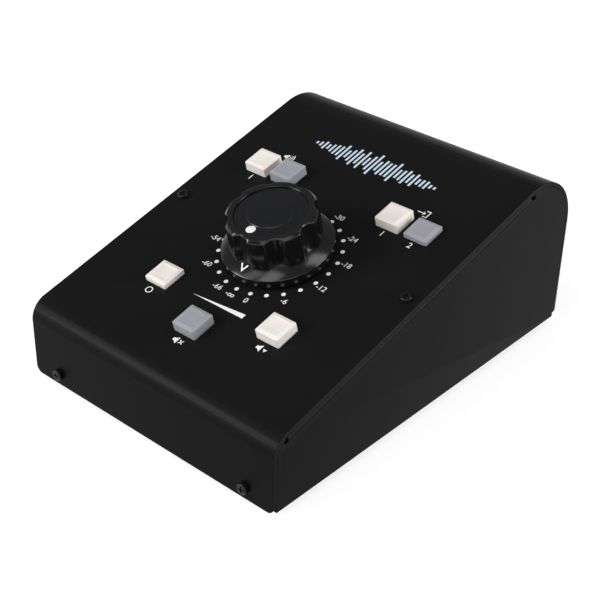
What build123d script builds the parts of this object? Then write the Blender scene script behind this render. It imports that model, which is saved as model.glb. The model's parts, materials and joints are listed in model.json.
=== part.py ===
from build123d import *
import os
from math import cos, radians, sin, tan

# Studio monitor controller: a folded sheet case with a sloped top panel, a stepped volume
# knob, seven latching push buttons and a row of sockets at the rear. Millimetres, +Z up,
# front towards -Y, origin at the middle of the footprint on the resting surface.

# ------------------------------------------------------------------ case
WIDTH = 150.0
DEPTH = 209.0
SLOPE = 15.0                    # tilt of the top panel, degrees
FOOT_HEIGHT = 5.0
PANEL_HEIGHT = 58.7             # panel skin above the cover's lower edge, at the knob axis
KNOB_FROM_FRONT = 84.9          # knob axis behind the front face, on the panel skin
SHEET = 2.0
FRONT_BEND = 10.6               # outer radii of the three kinds of bend
REAR_BEND = 28.6
SIDE_BEND = 2.4
SEAM_GAP = 0.6                  # between a side flap and the wrapped front, top and rear
RELIEF_RADIUS = 1.5             # round hole where a side bend ends
LOWER_CORNER = 3.4              # rounded lower corners of the front and rear faces

# ------------------------------------------------------------------ fasteners
SCREW_RADIUS = 1.5              # M3 pan heads, with clearance holes and hexagon nuts
SCREW_HOLE = 1.7
HEAD_RADIUS = 2.75
HEAD_HEIGHT = 2.0
HEAD_ROUND = 0.9
NUT_RADIUS = 3.1                # across the corners
NUT_HEIGHT = 2.4
CLINCH_RADIUS = 2.7
CLINCH_HEIGHT = 2.2
THREAD_CLEARANCE = 0.05
CROSS_WIDTH = 0.7               # cross recess in a screw head
CROSS_LENGTH = 3.2
CROSS_DEPTH = 1.1
TOP_SCREW_U = 68.4
TOP_SCREW_V = 5.6
FACE_SCREW_X = 58.7             # front and rear screws, from the centre line
REAR_SCREW_X = 66.5
FACE_SCREW_Z = 5.5              # above the cover's lower edge
SCREW_LENGTH = 7.0
SCREW_END = 1.0                 # length that stands out of a nut

# ------------------------------------------------------------------ base plate and feet
BASE_SHEET = 1.5
BASE_CLEARANCE = 0.3
BASE_FLANGE = 12.0
BASE_BEND = 2.0
REAR_TAB_WIDTH = 13.0
STRAP_WIDTH = 26.0
STRAP_REACH = 9.5
FOOT_TOP_RADIUS = 8.0
FOOT_TIP_RADIUS = 7.2
FOOT_ROUND = 0.8
FOOT_X = 61.5
FOOT_INSET = 16.0               # foot centre from the front and rear faces
FOOT_RECESS = 3.2
FOOT_RECESS_RADIUS = 3.6

# ------------------------------------------------------------------ push buttons
CAP_SIZE = 12.8
CAP_CORNER = 0.8
CAP_RISE = 4.4                  # outer top edge of a cap that is up, above the panel
CAP_BEVEL_IN = 1.2
CAP_BEVEL_UP = 0.7
CAP_DISH = 0.4
CAP_DISH_WIDTH = 9.6
CAP_DEPTH = 8.4                 # outer top edge down to the open underside
CAP_WALL = 1.1
CAP_ROOF = 1.6
LATCH_TRAVEL = 2.4              # a latched cap stays this much lower
CAP_GAP = 0.3
PLUNGER_SIZE = 3.0
PLUNGER_FIT = 0.06
PLUNGER_GRIP = 4.0
PLUNGER_LENGTH = 15.0
SWITCH_SIZE = 10.4
SWITCH_CHAMFER = 0.6
SWITCH_TOP = -8.5               # along the panel's normal
SWITCH_FLOOR = 1.0
SWITCH_COLLAR = 5.4
COLLAR_HEIGHT = 0.8
BOARD_TOP = -20.0
PIN_SIZE = 0.7
PIN_PITCH_U = 3.6
PIN_PITCH_V = 2.8
PIN_BELOW_BOARD = 1.4
PAIR_INNER_U = 32.7
PAIR_OUTER_U = 48.8
PAIR_V = 43.4
LOWER_U = 34.5
LOWER_V = -40.4
FRONT_V = -56.5
# name: (across the panel, up the slope, latched down)
BUTTONS = {
    "output_1": (-PAIR_OUTER_U, PAIR_V, False),
    "output_2": (-PAIR_INNER_U, PAIR_V, False),
    "input_1": (PAIR_INNER_U, PAIR_V, False),
    "input_2": (PAIR_OUTER_U, PAIR_V, True),
    "mono": (-LOWER_U, LOWER_V, True),
    "mute": (0.0, FRONT_V, False),
    "dim": (LOWER_U, LOWER_V, False),
}

# ------------------------------------------------------------------ switch board
BOARD_THICKNESS = 1.6
BOARD_HALF_WIDTH = 59.0
BOARD_FRONT_V = -66.0
BOARD_REAR_V = 54.0
BOARD_CORNER = 3.0
BOARD_WINDOW = 22.6             # the attenuator's wafers pass through it
PILLAR_RADIUS = 3.0
PILLAR_U = 54.0
PILLAR_VS = (-58.0, 24.0)
PILLAR_THREAD = 6.4

# ------------------------------------------------------------------ stepped attenuator
STEPS = 24
BUSH_RADIUS = 4.7
BUSH_TOP = 6.0
SHAFT_RADIUS = 3.0
SHAFT_FIT = 0.04
SHAFT_TOP = 20.0
SHAFT_FLAT = 0.6
FRAME_RADIUS = 15.5
FRAME_DEPTH = 8.0
FRAME_CHAMFER = 1.0
EAR_RADIUS = 2.6                # ears of the housing that carry the rods
EAR_THICKNESS = 2.0
WAFER_RADIUS = 22.0
WAFER_THICKNESS = 1.6
WAFER_TOPS = (-17.0, -29.0)
WAFER_HOLE = 5.6
CONTACT_RADIUS = 12.5
CONTACT_SIZE = (3.6, 1.1, 0.4)
RESISTOR_RADIUS = 16.6
RESISTOR_SIZE = (1.2, 2.0, 0.5)
HUB_RADIUS = 5.2
HUB_HEIGHT = 5.0
WIPER_GAP = 0.25
WIPER_SIZE = (14.0, 2.2, 0.5)
ROD_RADIUS = 1.25
ROD_CIRCLE = 19.4               # outside the wipers' sweep and the resistors
SPACER_RADIUS = 2.0
ROD_END = -33.0
BUSH_WASHER = 0.6
BUSH_NUT_RADIUS = 7.8
BUSH_NUT_HEIGHT = 2.4
BUSH_WASHER_RADIUS = 7.6

# ------------------------------------------------------------------ knob
LOBES = 8
SKIRT_BOTTOM = 1.4
SKIRT_RADIUS = 26.3
SKIRT_EDGE = 0.3
SKIRT_RIM_TOP = 5.6
SKIRT_SLOPE = 30.0              # cone of the skirt, degrees
SKIRT_INNER = 12.0
SKIRT_FLAT = 18.6               # radius where the cone meets the level web
SKIRT_WALL = 1.7
GRIP_BASE_RADIUS = 22.0
GRIP_TOP_RADIUS = 21.4
GRIP_TOP = 24.0
GRIP_BEVEL = 1.4
GRIP_HUB_BOTTOM = 7.5
FLUTE_RADIUS = 6.2
FLUTE_BOTTOM_RADIUS = 19.1      # axis to the bottom of a flute, at the top
FLUTE_ROUND = 0.7
DISC_RADIUS = 17.1
DISC_SEAT = 22.2
DISC_LEVEL = 23.3
BOSS_RADIUS = 11.2
BOSS_LEVEL = 23.7
BOSS_BEVEL = 0.3
DOT_RADIUS = 2.3
DOT_CIRCLE = 13.6
DOT_DEPTH = 0.6
BUSHING_RADIUS = 6.0
BUSHING_TOP = 21.0
GRUB_RADIUS = 2.0
GRUB_LENGTH = 5.0
GRUB_LEVEL = 14.5
GRUB_SOCKET = 1.0

# ------------------------------------------------------------------ rear sockets
SOCKET_XS = (-43.5, -14.5, 14.5, 43.5)
XLR_Z = 20.5                    # above the cover's lower edge
XLR_FLANGE = (26.0, 31.0)
XLR_FLANGE_CORNER = 2.5
XLR_FLANGE_CHAMFER = 0.5
XLR_FLANGE_THICKNESS = 2.0
XLR_BARREL = 11.8
XLR_BARREL_DEPTH = 18.0
XLR_BORE = 9.4
XLR_CUTOUT = 12.0
XLR_SCREW_U = 9.5
XLR_SCREW_V = 12.0
XLR_KEY = (3.0, 1.2)
INSERT_TOP = -12.8
INSERT_BOTTOM = -17.0
INSERT_FIT = 0.05
CONTACT_PIN_RADIUS = 1.2
CONTACT_PIN_ROUND = 0.85
CONTACT_PIN_ANGLES = (180, 270, 0)
CONTACT_PIN_CIRCLE = 4.0
CONTACT_PIN_TOP = -1.0
CONTACT_PIN_BOTTOM = -25.0
JACK_Z = 45.5
JACK_BODY = (14.5, 13.5, 20.0)
JACK_CHAMFER = 1.0
JACK_BORE = 3.25
JACK_BORE_DEPTH = 17.0
JACK_BUSH_OUT = 5.0
REAR_BOARD_TOP = -22.0
REAR_BOARD_SIZE = (124.0, 47.0)
REAR_BOARD_Z = 28.5

# ------------------------------------------------------------------ ribbon between the boards
HEADER_SIZE = (31.0, 8.0, 8.0)
HEADER_V = 45.0
HEADER_Z = 38.0
RIBBON_WIDTH = 25.0
RIBBON_THICKNESS = 1.0
RIBBON_BEND = 5.0

# ------------------------------------------------------------------ derived places
CASE_BOTTOM = FOOT_HEIGHT
BOX_DEPTH = HEAD_HEIGHT + DEPTH + JACK_BUSH_OUT
FRONT_Y = HEAD_HEIGHT - BOX_DEPTH / 2
REAR_Y = FRONT_Y + DEPTH
KNOB_Y = FRONT_Y + KNOB_FROM_FRONT
KNOB_Z = CASE_BOTTOM + PANEL_HEIGHT
SIDE_X = WIDTH / 2
EPS = 0.01
OVERRUN = 1.0                   # how far a cutter runs past the face it opens
FAR = 200.0                     # reaches past the whole case

PANEL = Plane(origin=(0, KNOB_Y, KNOB_Z), x_dir=(1, 0, 0),
              z_dir=(0, -sin(radians(SLOPE)), cos(radians(SLOPE))))
FRONT = Plane(origin=(0, FRONT_Y, CASE_BOTTOM), x_dir=(1, 0, 0), z_dir=(0, -1, 0))
REAR = Plane(origin=(0, REAR_Y, CASE_BOTTOM), x_dir=(-1, 0, 0), z_dir=(0, 1, 0))


def placed(plane, shape, u=0.0, v=0.0, n=0.0):
    """The shape moved to a point on a face: u across, v up, n outward."""
    return plane.location * Pos(u, v, n) * shape


def post(radius, bottom, top):
    """A round bar along +Z from bottom to top."""
    return Pos(0, 0, (bottom + top) / 2) * Cylinder(radius, top - bottom)


def block(size_u, size_v, bottom, top):
    """A rectangular bar along +Z from bottom to top."""
    return Pos(0, 0, (bottom + top) / 2) * Box(size_u, size_v, top - bottom)


def group(shapes):
    """Separate solids kept side by side in one sub-part."""
    return Compound(children=list(shapes))


def turned(points):
    """A solid of revolution about Z from a closed outline of (radius, height) points."""
    outline = make_face(Polyline(*points, close=True))
    return revolve(Plane.XZ * outline, Axis.Z)


# ------------------------------------------------------------------ fasteners
def pan_screw(length, under_head=0.0):
    """M3 pan-head screw whose head rests on n = under_head and whose shank runs inward."""
    head = post(HEAD_RADIUS, under_head, under_head + HEAD_HEIGHT)
    head = fillet(head.edges().sort_by(Axis.Z)[-1], HEAD_ROUND)
    shank = post(SCREW_RADIUS, under_head - length, under_head)
    recess_level = under_head + HEAD_HEIGHT - CROSS_DEPTH / 2
    slot = Box(CROSS_LENGTH, CROSS_WIDTH, CROSS_DEPTH)
    cross = slot + Rot(0, 0, 90) * slot
    return head + shank - Pos(0, 0, recess_level) * cross


def hex_nut(top):
    """M3 hexagon nut below the level top."""
    body = extrude(RegularPolygon(NUT_RADIUS, 6), -NUT_HEIGHT)
    bore = post(SCREW_RADIUS + THREAD_CLEARANCE, -NUT_HEIGHT - OVERRUN, OVERRUN)
    return Pos(0, 0, top) * (body - bore)


def clinch_nut(top):
    """Round clinch nut below the level top."""
    bottom = top - CLINCH_HEIGHT
    bore = post(SCREW_RADIUS + THREAD_CLEARANCE, bottom - OVERRUN, top + OVERRUN)
    return post(CLINCH_RADIUS, bottom, top) - bore


def cover_screw_places():
    """Each cover screw's face, its place on the face, and the sheet under the cover there."""
    for side in (-1, 1):
        yield PANEL, side * TOP_SCREW_U, TOP_SCREW_V
        yield FRONT, side * FACE_SCREW_X, FACE_SCREW_Z
        yield REAR, side * REAR_SCREW_X, FACE_SCREW_Z


def cover_screws():
    return group(placed(face, pan_screw(SCREW_LENGTH), u, v)
                 for face, u, v in cover_screw_places())


def clinch_nuts():
    return group(placed(face, clinch_nut(-SHEET - BASE_SHEET), u, v)
                 for face, u, v in cover_screw_places())


# ------------------------------------------------------------------ cover
def panel_line(y, inset):
    """Height of the panel skin, moved inward by inset, at depth y."""
    angle = radians(SLOPE)
    return KNOB_Z + (y - KNOB_Y) * tan(angle) - inset / cos(angle)


def side_profile(inset, bottom):
    """Side view of the case, moved inward by inset from its skin and cut level at bottom."""
    front = FRONT_Y + inset
    rear = REAR_Y - inset
    front_corner = (front, panel_line(front, inset))
    rear_corner = (rear, panel_line(rear, inset))
    outline = make_face(Polyline((front, bottom), front_corner, rear_corner, (rear, bottom),
                                 close=True))
    outline = fillet(outline.vertices().sort_by_distance(front_corner)[0], FRONT_BEND - inset)
    outline = fillet(outline.vertices().sort_by_distance(rear_corner)[0], REAR_BEND - inset)
    return Plane.YZ * outline


def bend_tangent(face_y, radius, towards):
    """Place up the slope where the flat panel meets the bend beside the face at face_y."""
    angle = radians(SLOPE)
    centre_y = face_y + towards * radius
    centre_z = panel_line(centre_y, radius)
    return (centre_y - KNOB_Y) * cos(angle) + (centre_z - KNOB_Z) * sin(angle)


def side_bend(start, end):
    """The bend that joins the panel to the right-hand flap, between two places up the slope."""
    length = end - start
    tube = Cylinder(SIDE_BEND, length) - Cylinder(SIDE_BEND - SHEET, length)
    quarter = tube & Pos(SIDE_BEND, SIDE_BEND, 0) * Box(2 * SIDE_BEND, 2 * SIDE_BEND, length)
    bend = Pos(SIDE_X - SIDE_BEND, 0, -SIDE_BEND) * Rot(90, 0, 0) * quarter
    flap_top = block(SHEET, length, -2 * SIDE_BEND, -SIDE_BEND)
    return Pos(0, (start + end) / 2, 0) * (bend + Pos(SIDE_X - SHEET / 2, 0, 0) * flap_top)


def folded_shell():
    """The folded sheet before its holes are punched."""
    skin = extrude(side_profile(0, CASE_BOTTOM), SIDE_X, both=True)
    hollow = extrude(side_profile(SHEET, CASE_BOTTOM - SHEET), SIDE_X + OVERRUN, both=True)
    wrap = skin - hollow
    lower_corners = (wrap.edges().filter_by(Axis.Y)
                     .filter_by_position(Axis.Z, CASE_BOTTOM - EPS, CASE_BOTTOM + EPS))
    wrap = fillet(lower_corners, LOWER_CORNER)

    start = bend_tangent(FRONT_Y, FRONT_BEND, 1) - RELIEF_RADIUS
    end = bend_tangent(REAR_Y, REAR_BEND, -1) + RELIEF_RADIUS
    edge_strip = Box(SIDE_BEND, end - start, SHEET)
    edge_strip = Pos(SIDE_X - SIDE_BEND / 2, (start + end) / 2, -SHEET / 2) * edge_strip
    flap = extrude(side_profile(SHEET + SEAM_GAP, CASE_BOTTOM), SHEET)
    flap = Pos(SIDE_X - SHEET, 0, 0) * flap
    relief = Rot(0, 90, 0) * Cylinder(RELIEF_RADIUS, 3 * SHEET)
    fold = placed(PANEL, side_bend(start, end))
    for place in (start, end):
        fold -= placed(PANEL, relief, SIDE_X, place, -SHEET - RELIEF_RADIUS)
        flap -= placed(PANEL, relief, SIDE_X, place, -SHEET - RELIEF_RADIUS)
    right = flap + fold
    edge_strip = placed(PANEL, edge_strip)
    wrap = wrap - edge_strip - mirror(edge_strip, about=Plane.YZ)
    return wrap + right + mirror(right, about=Plane.YZ)


def cover():
    """Folded cover with its punched holes."""
    punch_depth = 3 * SHEET
    window = extrude(RectangleRounded(CAP_SIZE + 2 * CAP_GAP, CAP_SIZE + 2 * CAP_GAP, CAP_CORNER),
                     punch_depth, both=True)
    screw_hole = Cylinder(SCREW_HOLE, punch_depth)
    bush_hole = Cylinder(BUSH_RADIUS + THREAD_CLEARANCE, punch_depth)
    punches = [placed(PANEL, window, u, v) for u, v, latched in BUTTONS.values()]
    punches.append(placed(PANEL, bush_hole))
    punches += [placed(face, screw_hole, u, v) for face, u, v in cover_screw_places()]
    for x in SOCKET_XS:
        punches.append(placed(REAR, Cylinder(XLR_CUTOUT, punch_depth), x, XLR_Z))
        punches.append(placed(REAR, bush_hole, x, JACK_Z))
        punches += [placed(REAR, screw_hole, x + u, XLR_Z + v) for u, v in socket_screw_places()]
    return folded_shell() - punches


# ------------------------------------------------------------------ base plate and feet
def base_plate():
    """Folded plate that closes the underside and carries the cover screws."""
    half = SIDE_X - SHEET - BASE_CLEARANCE
    mid = BASE_SHEET / 2
    front = FRONT_Y + SHEET + mid
    rear = REAR_Y - SHEET - mid
    level = CASE_BOTTOM + mid
    path = FilletPolyline((front, level + BASE_FLANGE), (front, level), (rear, level),
                          (rear, level + BASE_FLANGE), radius=BASE_BEND)
    tray = extrude(Plane.YZ * trace(path, BASE_SHEET), half, both=True)
    tab_gap = Box(2 * (half - REAR_TAB_WIDTH), 4 * BASE_SHEET, BASE_FLANGE)
    tray -= Pos(0, rear, level + BASE_BEND + BASE_FLANGE / 2) * tab_gap

    strap = side_strap(half)
    plate = tray + strap + mirror(strap, about=Plane.YZ)
    hole = Cylinder(SCREW_HOLE, 4 * SHEET)
    holes = [placed(face, hole, u, v, -SHEET) for face, u, v in cover_screw_places()]
    holes += [Pos(x, y, CASE_BOTTOM) * hole for x, y in foot_places()]
    return plate - holes


def side_strap(outer_x):
    """Upright strap inside the right-hand flap, its end folded in below the panel."""
    strap_y = KNOB_Y + TOP_SCREW_V * cos(radians(SLOPE))
    middle_z = CASE_BOTTOM + FAR / 2
    reach = Pos(outer_x - STRAP_REACH / 2, strap_y, middle_z) * Box(STRAP_REACH, STRAP_WIDTH, FAR)
    upright = Pos(outer_x - BASE_SHEET / 2, strap_y, middle_z) * Box(BASE_SHEET, STRAP_WIDTH, FAR)
    above_panel = placed(PANEL, block(FAR, FAR, -SHEET, FAR))
    below_panel = placed(PANEL, block(FAR, FAR, -SHEET - BASE_SHEET, -SHEET))
    strap = (upright - above_panel) + (reach & below_panel)
    ridge = [edge for edge in strap.edges()
             if edge.center().X > outer_x - EPS
             and PANEL.to_local_coords(edge.center()).Z > -SHEET - EPS]
    return fillet(ridge, BASE_BEND)


def foot_places():
    for x in (-FOOT_X, FOOT_X):
        for y in (FRONT_Y + FOOT_INSET, REAR_Y - FOOT_INSET):
            yield x, y


def rubber_foot():
    """Tapered round foot with a recess for its screw head."""
    body = Pos(0, 0, FOOT_HEIGHT / 2) * Cone(FOOT_TIP_RADIUS, FOOT_TOP_RADIUS, FOOT_HEIGHT)
    body = fillet(body.edges().sort_by(Axis.Z)[0], FOOT_ROUND)
    recess = post(FOOT_RECESS_RADIUS, -OVERRUN, FOOT_RECESS)
    hole = post(SCREW_HOLE, -OVERRUN, FOOT_HEIGHT + OVERRUN)
    return body - recess - hole


def foot_screw():
    """Screw that goes up through a foot, head down in the foot's recess."""
    length = FOOT_HEIGHT - FOOT_RECESS + BASE_SHEET + NUT_HEIGHT + SCREW_END
    return Pos(0, 0, FOOT_RECESS) * Rot(180, 0, 0) * pan_screw(length)


def foot_parts():
    foot_nut = hex_nut(CASE_BOTTOM + BASE_SHEET + NUT_HEIGHT)
    feet = group(Pos(x, y, 0) * rubber_foot() for x, y in foot_places())
    screws = group(Pos(x, y, 0) * foot_screw() for x, y in foot_places())
    nuts = group(Pos(x, y, 0) * foot_nut for x, y in foot_places())
    return feet, screws, nuts


# ------------------------------------------------------------------ push buttons
def button_cap():
    """Square cap with bevelled shoulders and a dished face; outer top edge at n = 0."""
    slab = extrude(RectangleRounded(CAP_SIZE, CAP_SIZE, CAP_CORNER), -CAP_DEPTH)
    face = CAP_SIZE - 2 * CAP_BEVEL_IN
    shoulder = loft([RectangleRounded(CAP_SIZE, CAP_SIZE, CAP_CORNER),
                     Pos(0, 0, CAP_BEVEL_UP) * RectangleRounded(face, face, CAP_CORNER / 2)])
    dish_radius = (CAP_DISH_WIDTH ** 2 / 4 + CAP_DISH ** 2) / (2 * CAP_DISH)
    dish = Pos(0, 0, CAP_BEVEL_UP - CAP_DISH + dish_radius) * Sphere(dish_radius)
    room = CAP_SIZE - 2 * CAP_WALL
    hollow = block(room, room, -CAP_DEPTH - OVERRUN, -CAP_ROOF)
    boss_size = PLUNGER_SIZE + 2 * CAP_WALL
    boss = block(boss_size, boss_size, -CAP_DEPTH, -CAP_ROOF)
    socket_size = PLUNGER_SIZE + 2 * PLUNGER_FIT
    socket = block(socket_size, socket_size, -CAP_DEPTH - OVERRUN, PLUNGER_GRIP - CAP_DEPTH)
    return slab + shoulder - dish - hollow + boss - socket


def plunger():
    """Square plunger whose upper end fills the cap's socket."""
    top = PLUNGER_GRIP - CAP_DEPTH
    return block(PLUNGER_SIZE, PLUNGER_SIZE, top - PLUNGER_LENGTH, top)


def pin_places():
    for u in (-PIN_PITCH_U, 0, PIN_PITCH_U):
        for v in (-PIN_PITCH_V, PIN_PITCH_V):
            yield u, v


def latching_switch():
    """Switch body on the board, with a square guide for the plunger and six pins."""
    body = block(SWITCH_SIZE, SWITCH_SIZE, BOARD_TOP, SWITCH_TOP)
    body = chamfer(body.edges().filter_by(Axis.Z), SWITCH_CHAMFER)
    collar_top = SWITCH_TOP + COLLAR_HEIGHT
    collar = block(SWITCH_COLLAR, SWITCH_COLLAR, SWITCH_TOP, collar_top)
    guide_size = PLUNGER_SIZE + 2 * PLUNGER_FIT
    guide = block(guide_size, guide_size, BOARD_TOP + SWITCH_FLOOR, collar_top + OVERRUN)
    body = body + collar - guide
    pin_end = BOARD_TOP - BOARD_THICKNESS - PIN_BELOW_BOARD
    for u, v in pin_places():
        body += Pos(u, v, 0) * block(PIN_SIZE, PIN_SIZE, pin_end, BOARD_TOP)
    return body


def switch_board():
    """Board parallel to the panel, with a window for the attenuator."""
    length = BOARD_REAR_V - BOARD_FRONT_V
    outline = RectangleRounded(2 * BOARD_HALF_WIDTH, length, BOARD_CORNER)
    board = extrude(outline, -BOARD_THICKNESS)
    board = Pos(0, (BOARD_REAR_V + BOARD_FRONT_V) / 2, BOARD_TOP) * board
    through = 4 * BOARD_THICKNESS
    cuts = [Pos(0, 0, BOARD_TOP) * Cylinder(BOARD_WINDOW, through)]
    cuts += [Pos(u, v, BOARD_TOP) * Cylinder(SCREW_HOLE, through) for u, v in pillar_places()]
    hole = PIN_SIZE + 2 * PLUNGER_FIT
    for button_u, button_v, latched in BUTTONS.values():
        cuts += [Pos(button_u + u, button_v + v, BOARD_TOP) * Box(hole, hole, through)
                 for u, v in pin_places()]
    return placed(PANEL, board - cuts)


def pillar_places():
    for u in (-PILLAR_U, PILLAR_U):
        for v in PILLAR_VS:
            yield u, v


def board_fixings():
    """Hexagon pillars clinched under the panel, and the screws that hold the board to them."""
    height = -SHEET - BOARD_TOP
    pillar = Pos(0, 0, BOARD_TOP) * extrude(RegularPolygon(PILLAR_RADIUS, 6), height)
    thread = (BOARD_TOP - OVERRUN, BOARD_TOP + PILLAR_THREAD)
    pillar -= post(SCREW_RADIUS + THREAD_CLEARANCE, *thread)
    screw = Pos(0, 0, BOARD_TOP - BOARD_THICKNESS) * Rot(180, 0, 0) * pan_screw(SCREW_LENGTH)
    pillars = group(placed(PANEL, pillar, u, v) for u, v in pillar_places())
    screws = group(placed(PANEL, screw, u, v) for u, v in pillar_places())
    return pillars, screws


# ------------------------------------------------------------------ stepped attenuator
def rod_places():
    for side in (-1, 1):
        yield side * ROD_CIRCLE, 0.0


def attenuator_frame():
    """Detent housing under the panel, with ears for the rods and the threaded bush above."""
    housing_end = -SHEET - FRAME_DEPTH
    housing = post(FRAME_RADIUS, housing_end, -SHEET)
    housing = chamfer(housing.edges().sort_by(Axis.Z)[0], FRAME_CHAMFER)
    ears = SlotOverall(2 * (ROD_CIRCLE + EAR_RADIUS), 2 * EAR_RADIUS)
    frame = housing + Pos(0, 0, housing_end) * extrude(ears, EAR_THICKNESS)
    frame += post(BUSH_RADIUS, -SHEET - OVERRUN, BUSH_TOP)
    return frame - post(SHAFT_RADIUS + SHAFT_FIT, -FAR, FAR)


def wafers():
    disc = post(WAFER_RADIUS, -WAFER_THICKNESS, 0) - post(WAFER_HOLE, -FAR, FAR)
    for x, y in rod_places():
        disc -= Pos(x, y, 0) * Cylinder(ROD_RADIUS + THREAD_CLEARANCE, 4 * WAFER_THICKNESS)
    return group(Pos(0, 0, top) * disc for top in WAFER_TOPS)


def on_steps(shape, radius, count):
    """Copies of a shape on the switch's step angles, on top of both wafers."""
    step = 360 / STEPS
    return group(Pos(0, 0, top) * Rot(0, 0, step * number) * Pos(radius, 0, 0) * shape
                 for top in WAFER_TOPS for number in range(count))


def spacer_rods():
    """Two screws that hold the wafers below the housing, each with tubes between the layers."""
    pieces = []
    housing_end = -SHEET - FRAME_DEPTH
    tube_tops = (housing_end, WAFER_TOPS[0] - WAFER_THICKNESS)
    for x, y in rod_places():
        rod = post(ROD_RADIUS, ROD_END, housing_end)
        rod += post(SPACER_RADIUS, ROD_END, WAFER_TOPS[1] - WAFER_THICKNESS)
        pieces.append(Pos(x, y, 0) * rod)
        for tube_top, tube_end in zip(tube_tops, WAFER_TOPS):
            tube = post(SPACER_RADIUS, tube_end, tube_top)
            tube -= post(ROD_RADIUS + THREAD_CLEARANCE, tube_end - OVERRUN, tube_top + OVERRUN)
            pieces.append(Pos(x, y, 0) * tube)
    return group(pieces)


def rotor():
    """Shaft with its knob flat, and a hub and wiper for each wafer."""
    shaft = post(SHAFT_RADIUS, ROD_END, SHAFT_TOP)
    flat_length = SHAFT_TOP - BUSH_TOP
    flat = Box(2 * SHAFT_RADIUS, 2 * SHAFT_FLAT, flat_length)
    shaft -= Pos(0, SHAFT_RADIUS, SHAFT_TOP - flat_length / 2 + OVERRUN) * flat
    for top in WAFER_TOPS:
        shaft += post(HUB_RADIUS, top - WAFER_THICKNESS, top + HUB_HEIGHT / 2)
        wiper_level = top + CONTACT_SIZE[2] + WIPER_GAP
        wiper = block(WIPER_SIZE[1], WIPER_SIZE[0], wiper_level, wiper_level + WIPER_SIZE[2])
        shaft += Pos(0, -WIPER_SIZE[0] / 2, 0) * wiper
    return shaft


def bush_nut():
    """Hexagon nut for a threaded bush, standing on n = 0."""
    body = extrude(RegularPolygon(BUSH_NUT_RADIUS, 6), BUSH_NUT_HEIGHT)
    return body - post(BUSH_RADIUS + THREAD_CLEARANCE, -OVERRUN, BUSH_NUT_HEIGHT + OVERRUN)


def bush_washer():
    ring = post(BUSH_WASHER_RADIUS, 0, BUSH_WASHER)
    return ring - post(BUSH_RADIUS + THREAD_CLEARANCE, -OVERRUN, BUSH_WASHER + OVERRUN)


# ------------------------------------------------------------------ knob
def skirt_cone(radius):
    """Level of the skirt's conical face at a radius."""
    return SKIRT_RIM_TOP + (SKIRT_RADIUS - SKIRT_EDGE - radius) * tan(radians(SKIRT_SLOPE))


def knob_skirt():
    """Hollow conical skirt with a short upright rim."""
    web_top = skirt_cone(SKIRT_FLAT)
    inner_rim = SKIRT_RADIUS - SKIRT_WALL
    outer_edge = SKIRT_RADIUS - SKIRT_EDGE
    return turned([
        (SKIRT_INNER, web_top), (SKIRT_FLAT, web_top), (outer_edge, SKIRT_RIM_TOP),
        (SKIRT_RADIUS, SKIRT_RIM_TOP - SKIRT_EDGE), (SKIRT_RADIUS, SKIRT_BOTTOM + SKIRT_EDGE),
        (outer_edge, SKIRT_BOTTOM), (inner_rim, SKIRT_BOTTOM),
        (inner_rim, skirt_cone(inner_rim) - SKIRT_WALL), (SKIRT_FLAT, web_top - SKIRT_WALL),
        (SKIRT_INNER, web_top - SKIRT_WALL)])


def grip_envelope():
    """The grip before fluting: hub, seat on the skirt, tapered side, bevel and disc recess."""
    web_top = skirt_cone(SKIRT_FLAT)
    hub = SKIRT_INNER - THREAD_CLEARANCE
    return turned([
        (BUSHING_RADIUS, GRIP_HUB_BOTTOM), (hub, GRIP_HUB_BOTTOM), (hub, web_top),
        (SKIRT_FLAT, web_top), (GRIP_BASE_RADIUS, skirt_cone(GRIP_BASE_RADIUS)),
        (GRIP_TOP_RADIUS, GRIP_TOP - GRIP_BEVEL), (GRIP_TOP_RADIUS - GRIP_BEVEL, GRIP_TOP),
        (DISC_RADIUS, GRIP_TOP), (DISC_RADIUS, DISC_SEAT), (0, DISC_SEAT),
        (0, BUSHING_TOP), (BUSHING_RADIUS, BUSHING_TOP)])


def fluted_outline(scale, level):
    """Lobed outline of the grip with rounded arrises, scaled from its size at the top."""
    outline = Circle(GRIP_TOP_RADIUS)
    flute = Pos(FLUTE_BOTTOM_RADIUS + FLUTE_RADIUS, 0) * Circle(FLUTE_RADIUS)
    outline -= [Rot(0, 0, number * 360 / LOBES - 90) * flute for number in range(LOBES)]
    outline = fillet(outline.vertices(), FLUTE_ROUND)
    return Pos(0, 0, level) * outline.scale(scale)


def knob_grip():
    """Fluted grip that spreads a little towards the skirt and sits on its cone."""
    growth = GRIP_BASE_RADIUS / GRIP_TOP_RADIUS
    lobed = loft([fluted_outline(growth, GRIP_HUB_BOTTOM), fluted_outline(1, GRIP_TOP)],
                 ruled=True)
    return (grip_envelope() & lobed) - grub_bore(GRIP_BASE_RADIUS)


def grub_bore(outer):
    """Radial hole for the grub screw, on the side away from the pointer."""
    bore = Rot(-90, 0, 0) * Cylinder(GRUB_RADIUS, outer)
    return Pos(0, outer / 2 + SHAFT_RADIUS / 2, GRUB_LEVEL) * bore


def knob_bushing():
    """Brass bushing pressed in the grip's hub and bored for the shaft."""
    body = post(BUSHING_RADIUS, GRIP_HUB_BOTTOM, BUSHING_TOP)
    bore = post(SHAFT_RADIUS + SHAFT_FIT, GRIP_HUB_BOTTOM - OVERRUN, SHAFT_TOP + SHAFT_FIT)
    return body - bore - grub_bore(GRIP_BASE_RADIUS)


def grub_screw():
    """Socket grub screw that bears on the shaft's flat."""
    start = SHAFT_RADIUS - SHAFT_FLAT
    body = post(GRUB_RADIUS - THREAD_CLEARANCE, start, start + GRUB_LENGTH)
    socket = extrude(RegularPolygon(GRUB_SOCKET, 6), 2 * GRUB_SOCKET)
    body -= Pos(0, 0, start + GRUB_LENGTH - 2 * GRUB_SOCKET) * socket
    return Pos(0, 0, GRUB_LEVEL) * Rot(-90, 0, 0) * body


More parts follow.
